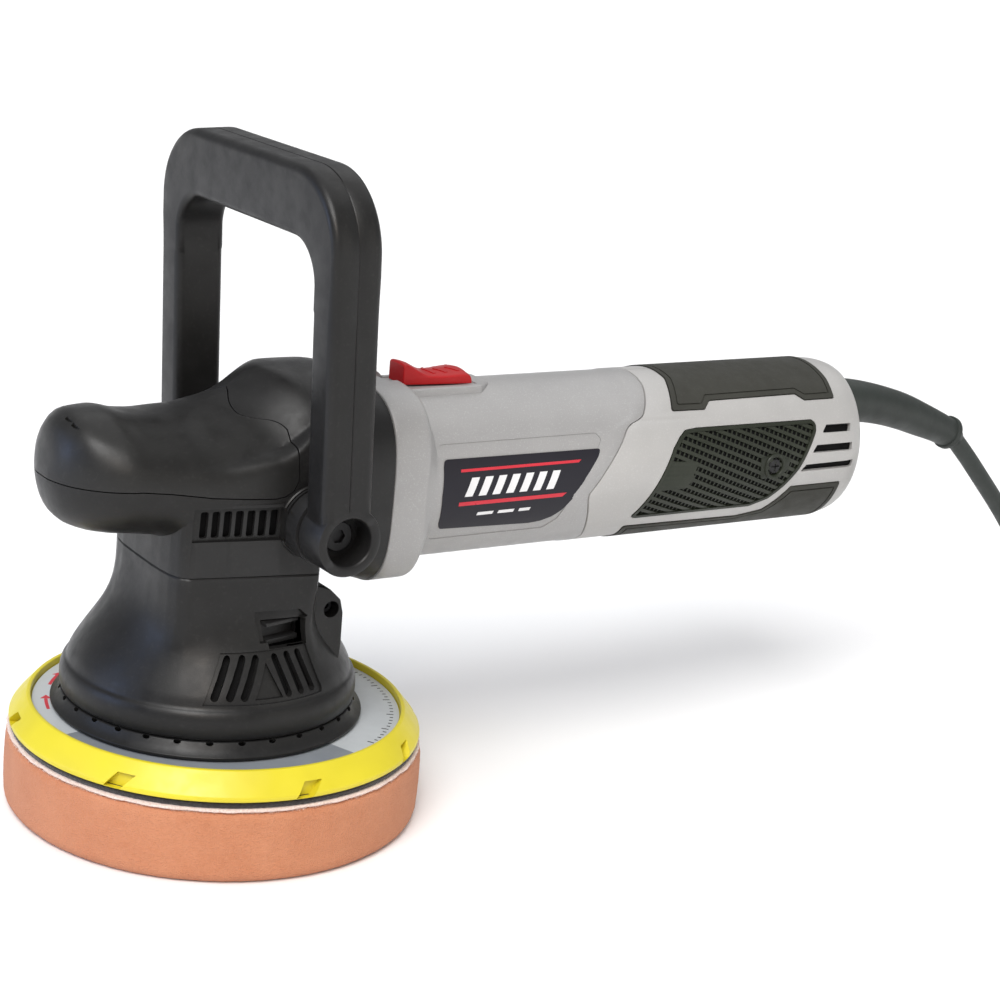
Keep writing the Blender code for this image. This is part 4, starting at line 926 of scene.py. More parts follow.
# ============================================================ lower housing and rim ring
BELL = cubic_tab([43.4, 44.2, 46.0, 49.0, 52.0, 53.5, 54.0, 54.4, 56.5, 61.2, 65.8, 70.4, 75.1, 79.6, 84.2, 88.8, 93.4, 98.0],
                 [52.6, 53.1, 53.65, 53.75, 53.3, 52.6, 52.2, 51.75, 51.0, 48.8, 46.8, 44.7, 42.5, 40.6, 38.9, 37.6, 37.0, 36.9])


NECK = [(-31.9, 0.0), (-32.0, -12.0), (-31.8, -19.0), (-31.1, -25.0), (-29.8, -29.4), (-27.0, -32.1), (-10.0, -35.4), (5.0, -38.1), (17.8, -40.3),
        (19.4, -40.2), (20.4, -38.9), (25.5, -30.0), (29.0, -20.0), (30.5, -8.0), (30.5, 0.0)]
# the far side is the same but for a rounder front corner
NECK = NECK + [(x, -y) for x, y in NECK[-2:6:-1]] + [(-10.0, 34.6), (-16.0, 32.9), (-21.0, 30.8), (-25.0, 27.8), (-28.2, 23.6), (-30.4, 18.2), (-31.6, 11.0)]


def neck_r(a, off=0.0):
    """Plan radius of the neck at angle a: flat front, flat sides that widen to
    a crisp rear corner, then a tapering back."""
    c, s = math.cos(a), math.sin(a)
    best = 0.0
    for i in range(len(NECK)):
        (x0, y0), (x1, y1) = NECK[i], NECK[(i + 1) % len(NECK)]
        dx, dy = x1 - x0, y1 - y0
        den = c * dy - s * dx
        if abs(den) < 1e-9:
            continue
        t = (x0 * dy - y0 * dx) / den
        u = (x0 * s - y0 * c) / den
        if t > 0 and -1e-6 <= u <= 1 + 1e-6:
            best = max(best, t)
    return best - off


def bell_radius(a, z, off=0.0):
    t = min(1.0, max(0.0, (96.0 - z) / 38.0))
    t = t * t * (3 - 2 * t)
    rn = neck_r(a)
    rc = float(BELL(z))
    return rn + (rc - rn) * t - off


NECK_CACHE = {}


def bell_ring(z, off, m):
    key = m
    if key not in NECK_CACHE:
        NECK_CACHE[key] = [neck_r(2 * math.pi * i / m) for i in range(m)]
    t = min(1.0, max(0.0, (96.0 - z) / 38.0))
    t = t * t * (3 - 2 * t)
    rc = float(BELL(z))
    out = []
    for i in range(m):
        a = 2 * math.pi * i / m
        r = NECK_CACHE[key][i] * (1 - t) + rc * t - off
        out.append((r * math.cos(a), r * math.sin(a), z))
    return out


def bell_map(az, z, d):
    a = math.radians(az)
    r = bell_radius(a, z) + d
    return (r * math.cos(a), r * math.sin(a), z)


def stadium(u0, v0, u1, v1, w, ku, seg=6):
    """Rounded slot from (u0, v0) to (u1, v1); u in degrees, ku mm per degree."""
    a, b = Vector((u0 * ku, v0)), Vector((u1 * ku, v1))
    d = (b - a).normalized()
    n = Vector((-d.y, d.x))
    out = []
    for c, s in ((b, 1), (a, -1)):
        for k in range(seg + 1):
            t = math.pi * k / seg - math.pi / 2
            p = c + (d * math.cos(t) + n * math.sin(t)) * (w / 2) * s
            out.append((p.x / ku, p.y))
    return out


def az_box(name, az, x0, x1, hw, z0, z1, bevel=0.0):
    b = box(name, x0, x1, -hw, hw, z0, z1, bevel)
    return turn(b, az, 'Z', (0, 0, 0))


def make_bell():
    m = 240
    zo = [43.8, 44.1, 44.6, 45.4, 46.4, 48.0, 50.0, 51.6, 52.8, 53.5, 53.9, 54.15, 54.5, 55.4, 57.0, 59.0, 61.5, 64.0, 67.0, 70.0, 73.0, 76.0, 79.0,
          82.0, 85.0, 88.0, 91.0, 93.5, 95.5, 97.2, 97.8]
    zi = [43.8, 48.0, 53.5, 59.0, 64.0, 72.0, 80.0, 90.0, 97.8]
    outer = [bell_ring(z, 0.45 if z > 97.7 else (0.25 if z < 43.9 else 0.0), m) for z in zo]
    bell = shell('bell_housing', outer, [bell_ring(z, 3.0, m) for z in zi])
    for s in (-1, 1):
        poly = rounded([(14, 60.0), (34.4, 62.0), (34.7, 67.5), (34.5, 79.5), (33.2, 84.6), (28.6, 89.0), (20.5, 91.6), (14, 91.6)], {1: 0.8, 2: 2, 3: 2.5, 4: 2.5, 5: 2})
        lug = prism('lug', poly, 'XZ', min(s * 24, s * 34.0), max(s * 24, s * 34.0), 0.5)
        join(bell, lug)
    inside = loft('in', [bell_ring(z, 3.7, 60) for z in (42.0, 48.0, 53.5, 64.0, 80.0, 99.0)])
    cut(bell, inside)
    for s in (-1, 1):
        cut(bell, rod('lh', 3.1, min(s * 27.0, s * 42), max(s * 27.0, s * 42), 32, 'Y', (29.5, 81.4)))
    join(bell, az_box('guide', LOCK_AZ, 28.9, 34.4, 9.6, 69.5, 83.4))
    # lock pocket: an even recess with a pointed rear corner, open to the button
    pk = [(-95.0, 85.1), (-70.8, 85.1), (-66.6, 82.2), (-69.1, 81.2), (-69.1, 75.4), (-72.3, 74.4), (-93.0, 74.4), (-93.6, 78.5), (-95.0, 81.4)]
    cut(bell, sheet_solid('pk', pk, bell_map, -2.2, 3.0, step_u=3.0, step_v=3.0))
    cut(bell, az_box('way', LOCK_AZ, 20.0, 60.0, 7.7, 72.4, 81.4))
    # trapezoid vent panels, recessed, with slanted slots and a triangle between
    for s in (-1, 1):
        def mir(poly):
            return poly if s < 0 else [(-u, v) for u, v in poly][::-1]
        pan = [(-113.4, 72.0), (-68.4, 72.4), (-65.9, 57.2), (-66.4, 56.0), (-119.6, 56.0)]
        cut(bell, sheet_solid('p', mir(pan), bell_map, -0.7, 3.0, step_u=3.0, step_v=3.0))
        cut(bell, sheet_solid('t', mir([(-91.4, 68.4), (-98.6, 57.3), (-86.2, 57.3)]), bell_map, -1.9, 3.0, step_u=3.0, step_v=3.0))
        for u0, v0, u1, v1 in ((-110.0, 69.9, -115.2, 58.3), (-102.7, 69.9, -109.0, 58.3), (-96.1, 69.7, -103.0, 58.3),
                               (-86.5, 69.6, -83.4, 58.3), (-79.8, 69.8, -77.1, 58.3), (-73.6, 69.9, -71.0, 58.3)):
            cut(bell, sheet_solid('s', mir(stadium(u0, v0, u1, v1, 2.6, 0.80)), bell_map, -5.0, 3.0, step_v=4.0))
    return bell


finish_piece(make_bell(), 'body', 'black_plastic', replaces=('lower_housing',), angle=28)


# near-black sheet behind the vents: painted shade in place of the dark inside of the housing
guide = shell('air_guide', [bell_ring(z, 3.75, 96) for z in (56.2, 60.0, 64.0, 68.0, 71.6)], [bell_ring(z, 4.6, 96) for z in (56.2, 60.0, 64.0, 68.0, 71.6)])
finish_piece(guide, 'body', 'black_plastic', 'liner', angle=40)


def make_ring():
    prof = [(50.2, 43.6), (52.5, 43.55)] + rounded([(52.3, 43.55), (53.3, 43.4), (54.6, 41.2)], {1: 0.8}, 4)[1:-1] + [(54.4, 41.4), (55.9, 39.55)] + \
        rounded([(55.7, 39.7), (56.75, 38.9), (56.5, 37.9)], {1: 0.7}, 6)[1:-1] + [(56.4, 38.0), (55.2, 38.05), (51.4, 42.2), (50.2, 42.2)]
    r = revolve('rim_ring', prof, 240, ring=True)
    holes = []
    for k in range(30):
        a = math.radians(12.0 * k + 4.0)
        b = rod('h', 1.0, 40.2, 46.0, 16)
        b.data.transform(Matrix.Diagonal((0.8, 1.35, 1, 1)))
        b.data.transform(Matrix.Rotation(math.radians(38), 4, 'Y'))
        b.data.transform(Matrix.Translation(Vector((54.0 - 27.6, 0, 8.4)) * MM))
        turn(b, a, 'Z', (0, 0, 0))
        holes.append(b)
    cut(r, merged('holes', holes))
    return r


finish_piece(make_ring(), 'body', 'black_plastic', replaces=('shroud_ring',), angle=35)


def make_lock():
    b = az_box('lock_push', LOCK_AZ, 29.4, 38.3, 7.3, 72.8, 81.0, 0.4)
    cut(b, az_box('g', LOCK_AZ, 34.6, 41.0, 9.0, 74.7, 79.7, 0.5))
    return b


finish_piece(make_lock(), 'lock_button', 'black_plastic', replaces=('spindle_lock_button',), angle=30)


# ============================================================ gear head
HX = [-68.4, -68.1, -67.4, -66.0, -62.6, -57.6, -50.0, -40.0, -31.0, -22.0, -12.0, -2.0, 11.0, 22.0, 31.6, 37.0, 43.0, 51.0]
HW = cubic_tab(HX, [4.6, 6.2, 8.9, 12.6, 18.4, 24.0, 29.0, 31.4, 32.2, 33.4, 35.0, 36.8, 38.4, 38.9, 38.4, 37.8, 36.8, 35.0])
HB = cubic_tab(HX, [127.0, 125.6, 122.7, 118.4, 113.7, 111.0, 109.4, 108.8, 107.6, 103.0, 99.5, 98.2, 98.0, 98.2, 98.3, 91.8, 87.0, 83.7])
HT = cubic_tab(HX, [133.2, 135.5, 140.0, 145.0, 149.9, 152.7, 152.8, 150.2, 149.4, 151.2, 156.2, 163.0, 168.0, 169.0, 168.6, 166.2, 162.6, 157.7])
HN = cubic_tab(HX, [2.0, 2.0, 2.05, 2.1, 2.15, 2.2, 2.3, 2.4, 2.7, 3.6, 5.5, 6.5, 6.5, 5.5, 4.5, 3.6, 3.2, 3.4])
HNT = cubic_tab(HX, [2.0, 2.0, 2.0, 2.0, 2.0, 2.05, 2.1, 2.15, 2.25, 2.4, 2.5, 2.6, 2.7, 2.8, 2.8, 2.9, 3.0, 3.4])


# fall of the crown forward of the ridge, against distance from the ridge
DROP = cubic_tab([-60, -20, 0, 4, 8, 12, 16, 20, 26, 34, 46, 90], [-19, -6.6, 0.0, 2.3, 5.1, 8.0, 10.3, 11.8, 13.0, 14.2, 15.4, 20.0])


def head_inside(x, y, z, off=0.0):
    """Signed measure of the gear head: negative inside. Works on arrays."""
    w, zb, zt = HW(x) - off, HB(x) + off, HT(x) - off
    zc, h = (zb + zt) / 2, (zt - zb) / 2
    n = np.where(z > zc, HNT(x), HN(x))
    rho = (np.abs(y / w) ** n + np.abs((z - zc) / h) ** n) ** (1 / n)
    g1 = (rho - 1) * np.minimum(w, h)
    cyl = np.sqrt(y ** 2 + (z - ZB) ** 2) - (44.3 - off)
    g2 = np.where(x > 30, cyl - (x - 30) * 0.0, cyl)
    g2 = g2 - 8.0 * smoothstep((-8.0 - x) / 20.0)
    ay = np.abs(y)
    ye = np.minimum(ay, 30.0)
    z_e = ZB + np.sqrt(44.3 ** 2 - ye ** 2)
    x_e = 12.0 + 8.6 * (ye / 22.5) ** 1.3
    g3 = (z - (z_e - DROP(np.clip(x_e - x, -60.0, 90.0))) + off) * 0.9 - 7.0 * smoothstep((-14.0 - x) / 26.0)
    k = 0.6
    m23 = np.maximum(g2, g3)
    g23 = m23 + k * np.log(np.exp((g2 - m23) / k) + np.exp((g3 - m23) / k))
    k = 2.4
    mx = np.maximum(g1, g23)
    return mx + k * np.log(np.exp((g1 - mx) / k) + np.exp((g23 - mx) / k))


def head_rings(xs, m, off=0.0):
    ang = (np.arange(m) + 0.5) * 2 * np.pi / m
    rings = []
    for x in xs:
        zc = float((HB(x) + HT(x)) / 2)
        if x > 20:
            zc = zc * 0.5 + ZB * 0.5
        lo, hi = np.zeros(m), np.full(m, 70.0)
        for _ in range(34):
            r = (lo + hi) / 2
            g = head_inside(np.full(m, float(x)), r * np.cos(ang), zc + r * np.sin(ang), off)
            inside = g < 0
            lo = np.where(inside, r, lo)
            hi = np.where(inside, hi, r)
        rings.append([(float(x), float(lo[i] * math.cos(ang[i])), zc + float(lo[i] * math.sin(ang[i]))) for i in range(m)])
    return rings


def neck_poly(m, off=0.0):
    return [((neck_r(2 * math.pi * i / m) - off) * math.cos(2 * math.pi * i / m), (neck_r(2 * math.pi * i / m) - off) * math.sin(2 * math.pi * i / m)) for i in range(m)]


def make_head():
    xs = [-68.4, -68.25, -68.0, -67.6, -67.0, -66.2, -65.2, -64.0, -62.6, -61.0, -59.2, -57.2, -55.0, -52.5]
    x = -49.6
    while x < 50.0:
        xs.append(x)
        x += 0.6 if -8.0 < x < 30.0 else 1.0
    xs += [50.5, 51.0]
    head = loft('head_shell', head_rings(xs, 208))
    join(head, prism('neck', neck_poly(240), 'XY', 98.1, 124.0))
    for s in (-1, 1):
        prof = [(0, s * 30.0), (13.6, s * 30.0), (13.6, s * 38.9), (13.2, s * 39.3), (12.4, s * 39.3), (12.4, s * 40.1), (13.2, s * 40.1), (13.2, s * 41.0), (12.4, s * 41.0),
                (12.4, s * 41.8), (13.0, s * 41.8), (13.0, s * 49.2), (0, s * 49.2)]
        join(head, revolve('boss', prof, 64, 'Y', PIV))
    hollow = loft('i', head_rings([-61.0, -54.0, -40.0, -22.0, -6.0, 11.0, 22.0, 32.0, 38.0, 44.0, 51.0, 53.0], 48, 3.2))
    join(hollow, prism('ni', neck_poly(48, 3.0), 'XY', 96.0, 122.0))
    cut(head, hollow)
    for s in (-1, 1):
        cut(head, rod('bh', 4.4, min(s * 22, s * 51), max(s * 22, s * 51), 24, 'Y', PIV))
        # vent recess with a step round it and seven upright slots
        rec = [(-26.7, s * 42), (4.9, s * 42), (4.9, s * 36.0), (-26.7, s * 31.0)]
        cut(head, prism('rec', rec, 'XY', 111.0, 122.9))
        slots = []
        for k in range(7):
            xx = -22.5 + 4.15 * k
            poly = rounded([(xx - 1.45, 112.1), (xx + 1.35, 112.1), (xx + 1.65, 121.5), (xx - 1.15, 121.5)], {0: 0.9, 1: 0.9, 2: 0.9, 3: 0.9}, 4)
            slots.append(prism('s', poly, 'XZ', min(s * 25, s * 42), max(s * 25, s * 42)))
        cut(head, merged('slots', slots))

    def region(name, g):
        side = [(-72, 129.2), (-64, 129.2), (-55, 129.6), (-45, 130.0), (-36, 129.2), (-28, 128.0), (-20, 126.9), (-8, 126.2), (2, 126.0), (6.4, 126.6), (9.4, 128.4), (11.0, 131.5)]
        side = [(a, b - g) for a, b in side[:9]] + [(5.2 + g * 0.5, 126.6 - g), (8.2 + g, 128.4 - g * 0.5), (9.9 + g, 131.8), (9.9 + g, 180), (-72, 180)]
        ys = [0.0, 2.7, 7.3, 11.0, 14.4, 18.7, 22.0, 25.4, 29.0, 33.0, 37.0, 46.0]
        sx = cubic_tab(ys, [-0.6, -1.4, -3.2, -3.8, -3.3, 1.0, 5.8, 9.0, 10.4, 10.1, 9.8, 9.8])
        half = [(float(sx(y)), y) for y in [k * 0.8 for k in range(1, 58)]]
        edge = [(a + g, -b) for a, b in half[::-1]] + [(-0.6 + g, 0.0)] + [(a + g, b) for a, b in half]
        plan = [(-74, -46)] + edge + [(-74, 46)]
        a = prism(name, side, 'XZ', -45, 45)
        return keep(a, prism('pl', plan, 'XY', 100, 190))

    palm = copy_of(head, 'palm_cover')
    keep(palm, region('r1', 0.0))
    cut(head, region('r2', 0.42))
    # small moulding mark on the nose of the cover
    for x0, y0, z0, ang in ((-61.8, -5.2, 148.9, -86), (-61.3, -9.8, 147.7, -80)):
        b = box('mk', x0 - 2.0, x0 + 2.0, y0 - 0.5, y0 + 0.5, z0, 156)
        turn(b, math.radians(ang), 'Z', (x0, y0, 152))
        cut(palm, b)
    return head, palm


head, palm = make_head()
finish_piece(head, 'body', 'black_plastic', replaces=('head_casing',), angle=32)
finish_piece(palm, 'body', 'soft_black', replaces=('palm_rest_cover',), angle=32)
# near-black sheets behind the head vent slots: painted shade in place of the dark inside
for s, tag in ((-1, 'left'), (1, 'right')):
    shade_outline = [(-28.0, s * 28.0), (6.0, s * 33.4), (6.0, s * 32.8), (-28.0, s * 27.4)]
    finish_piece(prism('head_vent_shade_sheet_' + tag, shade_outline, 'XY', 110.0, 124.4, 0.1), 'body', 'black_plastic', 'liner', angle=34)


# ============================================================ D-handle
def make_handle():
    H_YO, H_YI, HALF, TOP, TOPIN = 64.2, 49.7, 9.55, 242.0, 217.6
    zl, ro, ri = PIV[1], 27.0, 15.0
    right = [((H_YO, zl), (H_YI, zl))]
    for k in range(1, 13):
        z = zl + (TOP - ro - 6 - zl) * k / 13
        right.append(((H_YO, z), (H_YI, min(z, TOPIN - ri - 8))))
    right.append(((H_YO, TOP - ro - 6), (H_YI, TOPIN - ri - 8)))
    na = 22
    for k in range(na + 1):
        a = math.radians(90 * k / na)
        right.append(((H_YO - ro + ro * math.cos(a), TOP - ro + ro * math.sin(a)), (H_YI - ri + ri * math.cos(a), TOPIN - ri + ri * math.sin(a))))
    pairs = list(right)
    o0, i0 = right[-1]
    for k in range(1, 12):
        t = k / 12
        pairs.append(((o0[0] * (1 - 2 * t), TOP), (i0[0] * (1 - 2 * t), TOPIN)))
    pairs += [((-o[0], o[1]), (-i[0], i[1])) for o, i in right[::-1]]
    rad, seg = 3.4, 6
    rings = []
    for o, i in pairs:
        o, i = Vector(o), Vector(i)
        L = (i - o).length
        u = (i - o).normalized()
        row = []      # (distance from outer face, x)
        # outer face with the mould parting line in its middle
        row += [(0.0, 0.0 + 0.35), (0.0, HALF - rad - 0.3)]
        for k in range(1, seg + 1):
            a = math.radians(90 * k / seg)
            row.append((rad * (1 - math.cos(a)), HALF - rad + rad * math.sin(a)))
        for k in range(seg):
            a = math.radians(90 * k / seg)
            row.append((L - 3.0 + 3.0 * math.sin(a), HALF - 3.0 + 3.0 * math.cos(a)))
        row.append((L, HALF - 3.0 - 0.2))
        row.append((L, 0.0))
        half = row
        ring = [(d, x) for d, x in half] + [(d, -x) for d, x in half[::-1][1:]] + [(0.30, 0.0)]
        x0 = PIV[0] - 0.7
        rings.append([(x0 + x, o.x + u.x * d, o.y + u.y * d) for d, x in ring])
    h = loft('d_grip', rings)
    for s in (-1, 1):
        prof = [(0, s * 49.7), (11.7, s * 49.7), (12.4, s * 50.4), (12.4, s * 63.0), (12.05, s * 63.8), (11.2, s * 64.2), (0, s * 64.2)]
        join(h, revolve('foot', prof, 72, 'Y', PIV))
    for s in (-1, 1):
        prof = [(0, s * 53.7), (8.3, s * 53.7), (8.4, s * 63.2), (8.9, s * 63.95), (9.6, s * 64.25), (9.6, s * 66), (0, s * 66)]
        cut(h, revolve('c', prof, 64, 'Y', PIV))
        cut(h, rod('c', 4.5, min(s * 56, s * 48), max(s * 56, s * 48), 32, 'Y', PIV))
    turn(h, H_TILT, 'Y', (PIV[0], 0, PIV[1]))
    return h


finish_piece(make_handle(), 'handle', 'black_plastic', replaces=('d_handle',), angle=40)


# ============================================================ motor housing
def circ(x, r, m):
    return [(x, r * math.cos(2 * math.pi * (i + 0.5) / m), ZB + r * math.sin(2 * math.pi * (i + 0.5) / m)) for i in range(m)]


def collar(x, a, b, n, m):
    out = []
    for i in range(m):
        t = 2 * math.pi * (i + 0.5) / m
        r = (abs(math.cos(t) / a) ** n + abs(math.sin(t) / b) ** n) ** (-1.0 / n)
        out.append((x, r * math.cos(t), ZB + r * math.sin(t)))
    return out


SEAM_PTS = [(-90, 150.4), (-70, 150.0), (-53, 148.4), (-40, 145.6), (-29, 143.4), (-19, 141.5), (-12.5, 140.4), (-9.5, 140.6), (-6.5, 141.9), (0.7, 145.0),
            (12.4, 150.2), (23, 155.1), (31.5, 158.4), (35, 160.6), (37.0, 163.6), (38.6, 166.4), (41.0, 168.3), (46, 170.2), (50, 171.6), (57.3, 173.6), (66.3, 175.5),
            (75, 176.4), (90, 177.0)]


def SEAM(e):
    return float(np.interp(e, [p[0] for p in SEAM_PTS], [p[1] for p in SEAM_PTS]))


def seam_ring(r, shift, m):
    out = []
    for (x, y, z) in circ(0.0, r, m):
        e = math.degrees(math.asin(max(-1, min(1, (z - ZB) / r))))
        out.append((float(SEAM(e)) + shift, y, z))
    return out


def lerp_ring(a, b, t):
    return [tuple(Vector(p).lerp(Vector(q), t)) for p, q in zip(a, b)]


def barrel_map(mirror=False, r0=0.0):
    def f(x, e, d):
        a = math.radians(e)
        r = BR + d
        y = -r * math.cos(a)
        return (x, -y if mirror else y, ZB + r * math.sin(a))
    return f


def make_motor():
    m = 176
    A = collar(66.0, COL_A, COL_B, COL_N, m)
    outer = []
    for x, d in ((51.3, 0.5), (51.45, 0.2), (51.8, 0.0), (56.0, 0.0), (61.0, 0.0), (64.2, 0.0), (65.2, 0.08), (65.9, 0.35)):
        outer.append(collar(x, COL_A - d, COL_B - d, COL_N, m))
    BV = BR - 0.32
    S0, S1 = collar(66.3, COL_A - 0.6, COL_B - 0.6, COL_N, m), circ(71.5, BV, m)
    for t in (0.0, 0.25, 0.5, 0.75):
        w = float(smoothstep(t)) * 0.3 + t * 0.7
        outer.append([(66.3 + 5.2 * t, p[1], p[2]) for p in lerp_ring(S0, S1, w)])
    outer += [circ(71.5, BV, m), circ(72.6, BV, m), circ(90.0, BV, m), circ(110.0, BV, m), circ(122.0, BV, m), circ(130.0, BV, m)]
    outer.append(seam_ring(BV, -8.2, m))
    outer.append(seam_ring(BV + 0.04, -7.4, m))
    outer.append(seam_ring(BR - 0.04, -5.4, m))
    outer.append(seam_ring(BR, -4.6, m))
    e0 = seam_ring(BR, 0.0, m)
    outer.append([(p[0] - 0.6, p[1], p[2]) for p in e0])
    outer.append(seam_ring(BR - 0.12, -0.2, m))
    outer.append(seam_ring(BR - 0.45, 0.0, m))
    inner = [collar(51.3, COL_A - 3, COL_B - 3, COL_N, m), collar(64.0, COL_A - 3, COL_B - 3, COL_N, m), circ(71.5, BR_IN, m), circ(118.0, BR_IN, m), seam_ring(BR_IN, 0.0, m)]
    h = shell('motor_barrel', outer, inner)
    # raised platform round the switch
    plat = [(58.0, -11.6), (101.0, -11.6), (107.5, -6.0), (107.5, 6.0), (101.0, 11.6), (58.0, 11.6)]
    p = prism('pad', rounded(plat, {1: 3, 2: 3, 3: 3, 4: 3}, 4), 'XY', 150.0, 154.5)
    bevelled(p, 0.9, 3, 50)
    join(h, p)
    cut(h, box('pk', 60.6, 100.8, -8.4, 8.4, 154.0, 162.0), box('sl', 69.2, 87.0, -3.0, 3.0, 140.0, 162.0))
    # shallow panel that carries the film, its rear edge parallel to the seam
    pn = [(72.6, 31.5), (143.6, 31.5), (146.0, 27.0), (142.6, 18.0), (138.4, 7.0), (133.6, -6.0), (131.2, -16.0), (129.0, -28.0), (124.0, -36.0), (72.6, -36.0)]
    for mir in (False, True):
        cut(h, sheet_solid('pn', smooth_poly(pn, 2.0, 4, math.radians(1) * BR), barrel_map(mir), -0.62, 3.0, step_v=3.0))
    return h


finish_piece(make_motor(), 'body', 'grey_plastic', replaces=('motor_housing',), angle=34)


def make_switch():
    """Thumb slide: crowned across its width, with a raised stop at the front
    that is taller in the middle than at the sides."""
    top = [(98.3, 157.6), (97.9, 158.5), (97.2, 159.0), (96.0, 159.3), (94.0, 159.3), (91.5, 159.1), (88.5, 158.9), (85.5, 158.8), (82.5, 158.85), (80.2, 159.1),
           (78.4, 159.6), (76.8, 160.3), (75.2, 161.1), (73.6, 161.9), (72.2, 162.4), (71.2, 162.6), (70.3, 162.5), (69.8, 161.9)]
    rings = []
    for u in (-1.0, -0.98, -0.95, -0.9, -0.82, -0.66, -0.45, -0.2, 0.0, 0.2, 0.45, 0.66, 0.82, 0.9, 0.95, 0.98, 1.0):
        e = max(0.0, (abs(u) - 0.9) / 0.1) ** 2
        ring = [(69.9 + 0.25 * e, u * 5.3, 154.75), (98.4 - 0.25 * e, u * 8.4, 154.75)]
        for x, z in top:
            c = 0.5 + 0.9 * min(1.0, max(0.0, (x - 71.0) / 9.0))
            ring.append((x + (0.25 * e if x < 72 else (-0.25 * e if x > 97 else 0.0)), u * (5.3 + 3.1 * (x - 69.8) / 28.6), z - c * abs(u) ** 1.8 - 0.3 * e))
        rings.append(ring)
    sw = loft('slide_switch', rings)
    raised = copy_of(sw, 'raised')
    raised.data.transform(Matrix.Translation(Vector((0, 0, 0.26)) * MM))
    arrows = []
    for k in range(3):
        x = 80.4 + 5.2 * k
        poly = [(x, 0.0), (x + 2.9, 4.4), (x + 4.0, 4.4), (x + 1.15, 0.0), (x + 4.0, -4.4), (x + 2.9, -4.4)]
        arrows.append(prism('a', poly, 'XY', 155.4, 170.0))
    ribs = merged('ar', arrows)
    keep(ribs, raised)
    join(sw, ribs)
    # grip lines on the raised thumb stop
    cut(sw, merged('gl', [box('g', 72.6 + 1.6 * k, 73.05 + 1.6 * k, -3.8, 3.8, 162.0 - 0.75 * k, 166) for k in range(3)]))
    join(sw, box('st', 78.4, 85.6, -2.5, 2.5, 149.95, 156.0))
    return sw


finish_piece(make_switch(), 'switch', 'switch_red', replaces=('switch_slider',), angle=30)


# ------------------------------------------------------------ side films with plain graphics
LEFT_FILM = [(75.2, 21.6), (145.0, 20.8), (143.6, 15.5), (138.0, 2.5), (133.4, -11.5), (129.4, -20.5), (125.8, -25.2), (121.2, -28.2), (116.0, -29.2), (75.2, -26.3), (74.3, -22), (73.4, -2), (73.8, 17), (74.2, 20.6)]


def make_films():
    for mir, tag in ((False, 'left'), (True, 'right')):
        fm = barrel_map(mir)
        ky = math.radians(1) * BR
        if mir:
            poly = [(78, 20), (138, 20), (138, -24), (78, -24)]
        else:
            poly = LEFT_FILM
        film = sheet_solid('film_' + tag, smooth_poly(poly, 1.6, 4, ky), fm, -0.56, -0.28, step_v=2.5)
        finish_piece(film, 'body', SLOT_OF['label_' + tag], 'label_black', replaces=('label_' + tag,), angle=40)
        red, white = [], []
        if not mir:
            # plain stripe and slanted bars in place of any mark
            red.append(sheet_solid('r', [(81.0, -9.6), (127.8, -9.6), (129.6, -7.0), (81.0, -7.0)], fm, -0.28, -0.20, step_v=2.5))
            red.append(sheet_solid('r', [(81.0, 12.8), (134.2, 12.8), (135.4, 14.6), (81.0, 14.6)], fm, -0.28, -0.20, step_v=2.5))
            for k in range(7):
                x = 83.0 + 6.1 * k
                white.append(sheet_solid('w', [(x, -3.4), (x + 3.4, -3.4), (x + 6.2, 8.8), (x + 2.8, 8.8)], fm, -0.28, -0.20, step_v=2.5))
            for k in range(3):
                x = 90.0 + 9.4 * k
                white.append(sheet_solid('w', [(x, -17.6), (x + 7.0 - 2.0 * (k == 2), -17.6), (x + 7.4 - 2.0 * (k == 2), -15.4), (x + 0.4, -15.4)], fm, -0.28, -0.20, step_v=2.5))
        else:
            for k in range(5):
                e = 13.0 - 6.5 * k
                white.append(sheet_solid('w', [(84, e - 1.2), (132 - 8 * (k % 2), e - 1.2), (132 - 8 * (k % 2), e), (84, e)], fm, -0.28, -0.20, step_v=2.5))
            red.append(sheet_solid('r', [(84, 17.0), (104, 17.0), (104, 15.2), (84, 15.2)], fm, -0.28, -0.20, step_v=2.5))
        finish_piece(merged('film_stripes_' + tag, red), 'body', SLOT_OF['label_' + tag], 'ink_red', angle=40)
        finish_piece(merged('film_bars_' + tag, white), 'body', SLOT_OF['label_' + tag], 'ink_white', angle=40)


make_films()

# ============================================================ rear grip
KY = math.radians(1) * 33.0
TOP_INLAY = [(182.5, 42), (199.2, 41.5), (203.2, 48), (248.2, 48.5), (252.0, 43), (268.3, 43), (269.8, 60), (269.8, 120), (268.3, 137),
             (252.0, 137), (248.2, 131.5), (203.2, 132), (199.2, 138.5), (182.5, 138), (184.5, 128), (188.6, 108), (188.6, 72), (184.5, 52)]
LOW_INLAY = [(165.5, -44), (224.0, -46.5), (235.4, -41), (244.2, -19), (271.5, -19), (273.0, -60), (273.0, -120), (271.5, -161),
             (244.2, -161), (235.4, -139), (224.0, -133.5), (165.5, -136), (168.0, -118), (168.0, -62)]
GRILLE = [(165.4, -33), (168.0, -35.5), (226.4, -35.5), (234.8, -29), (240.8, -18), (246.2, -6), (254.4, 20), (254.8, 25.5), (252.8, 29),
          (192.5, 29.5), (186.6, 28.5), (183.4, 24), (180.0, 17)]


def ell(x, wy, wz, m):
    return [(x, wy * math.cos(2 * math.pi * (i + 0.5) / m), ZB + wz * math.sin(2 * math.pi * (i + 0.5) / m)) for i in range(m)]


REAR_SLOTS = [[(257.6, 18.7), (273.0, 18.5), (274.0, 24.2), (260.3, 24.4)], [(252.1, 5.1), (274.1, 4.8), (274.4, 10.5), (254.6, 10.5)],
              [(246.8, -8.0), (275.6, -8.0), (276.0, -2.5), (249.7, -3.0)]]


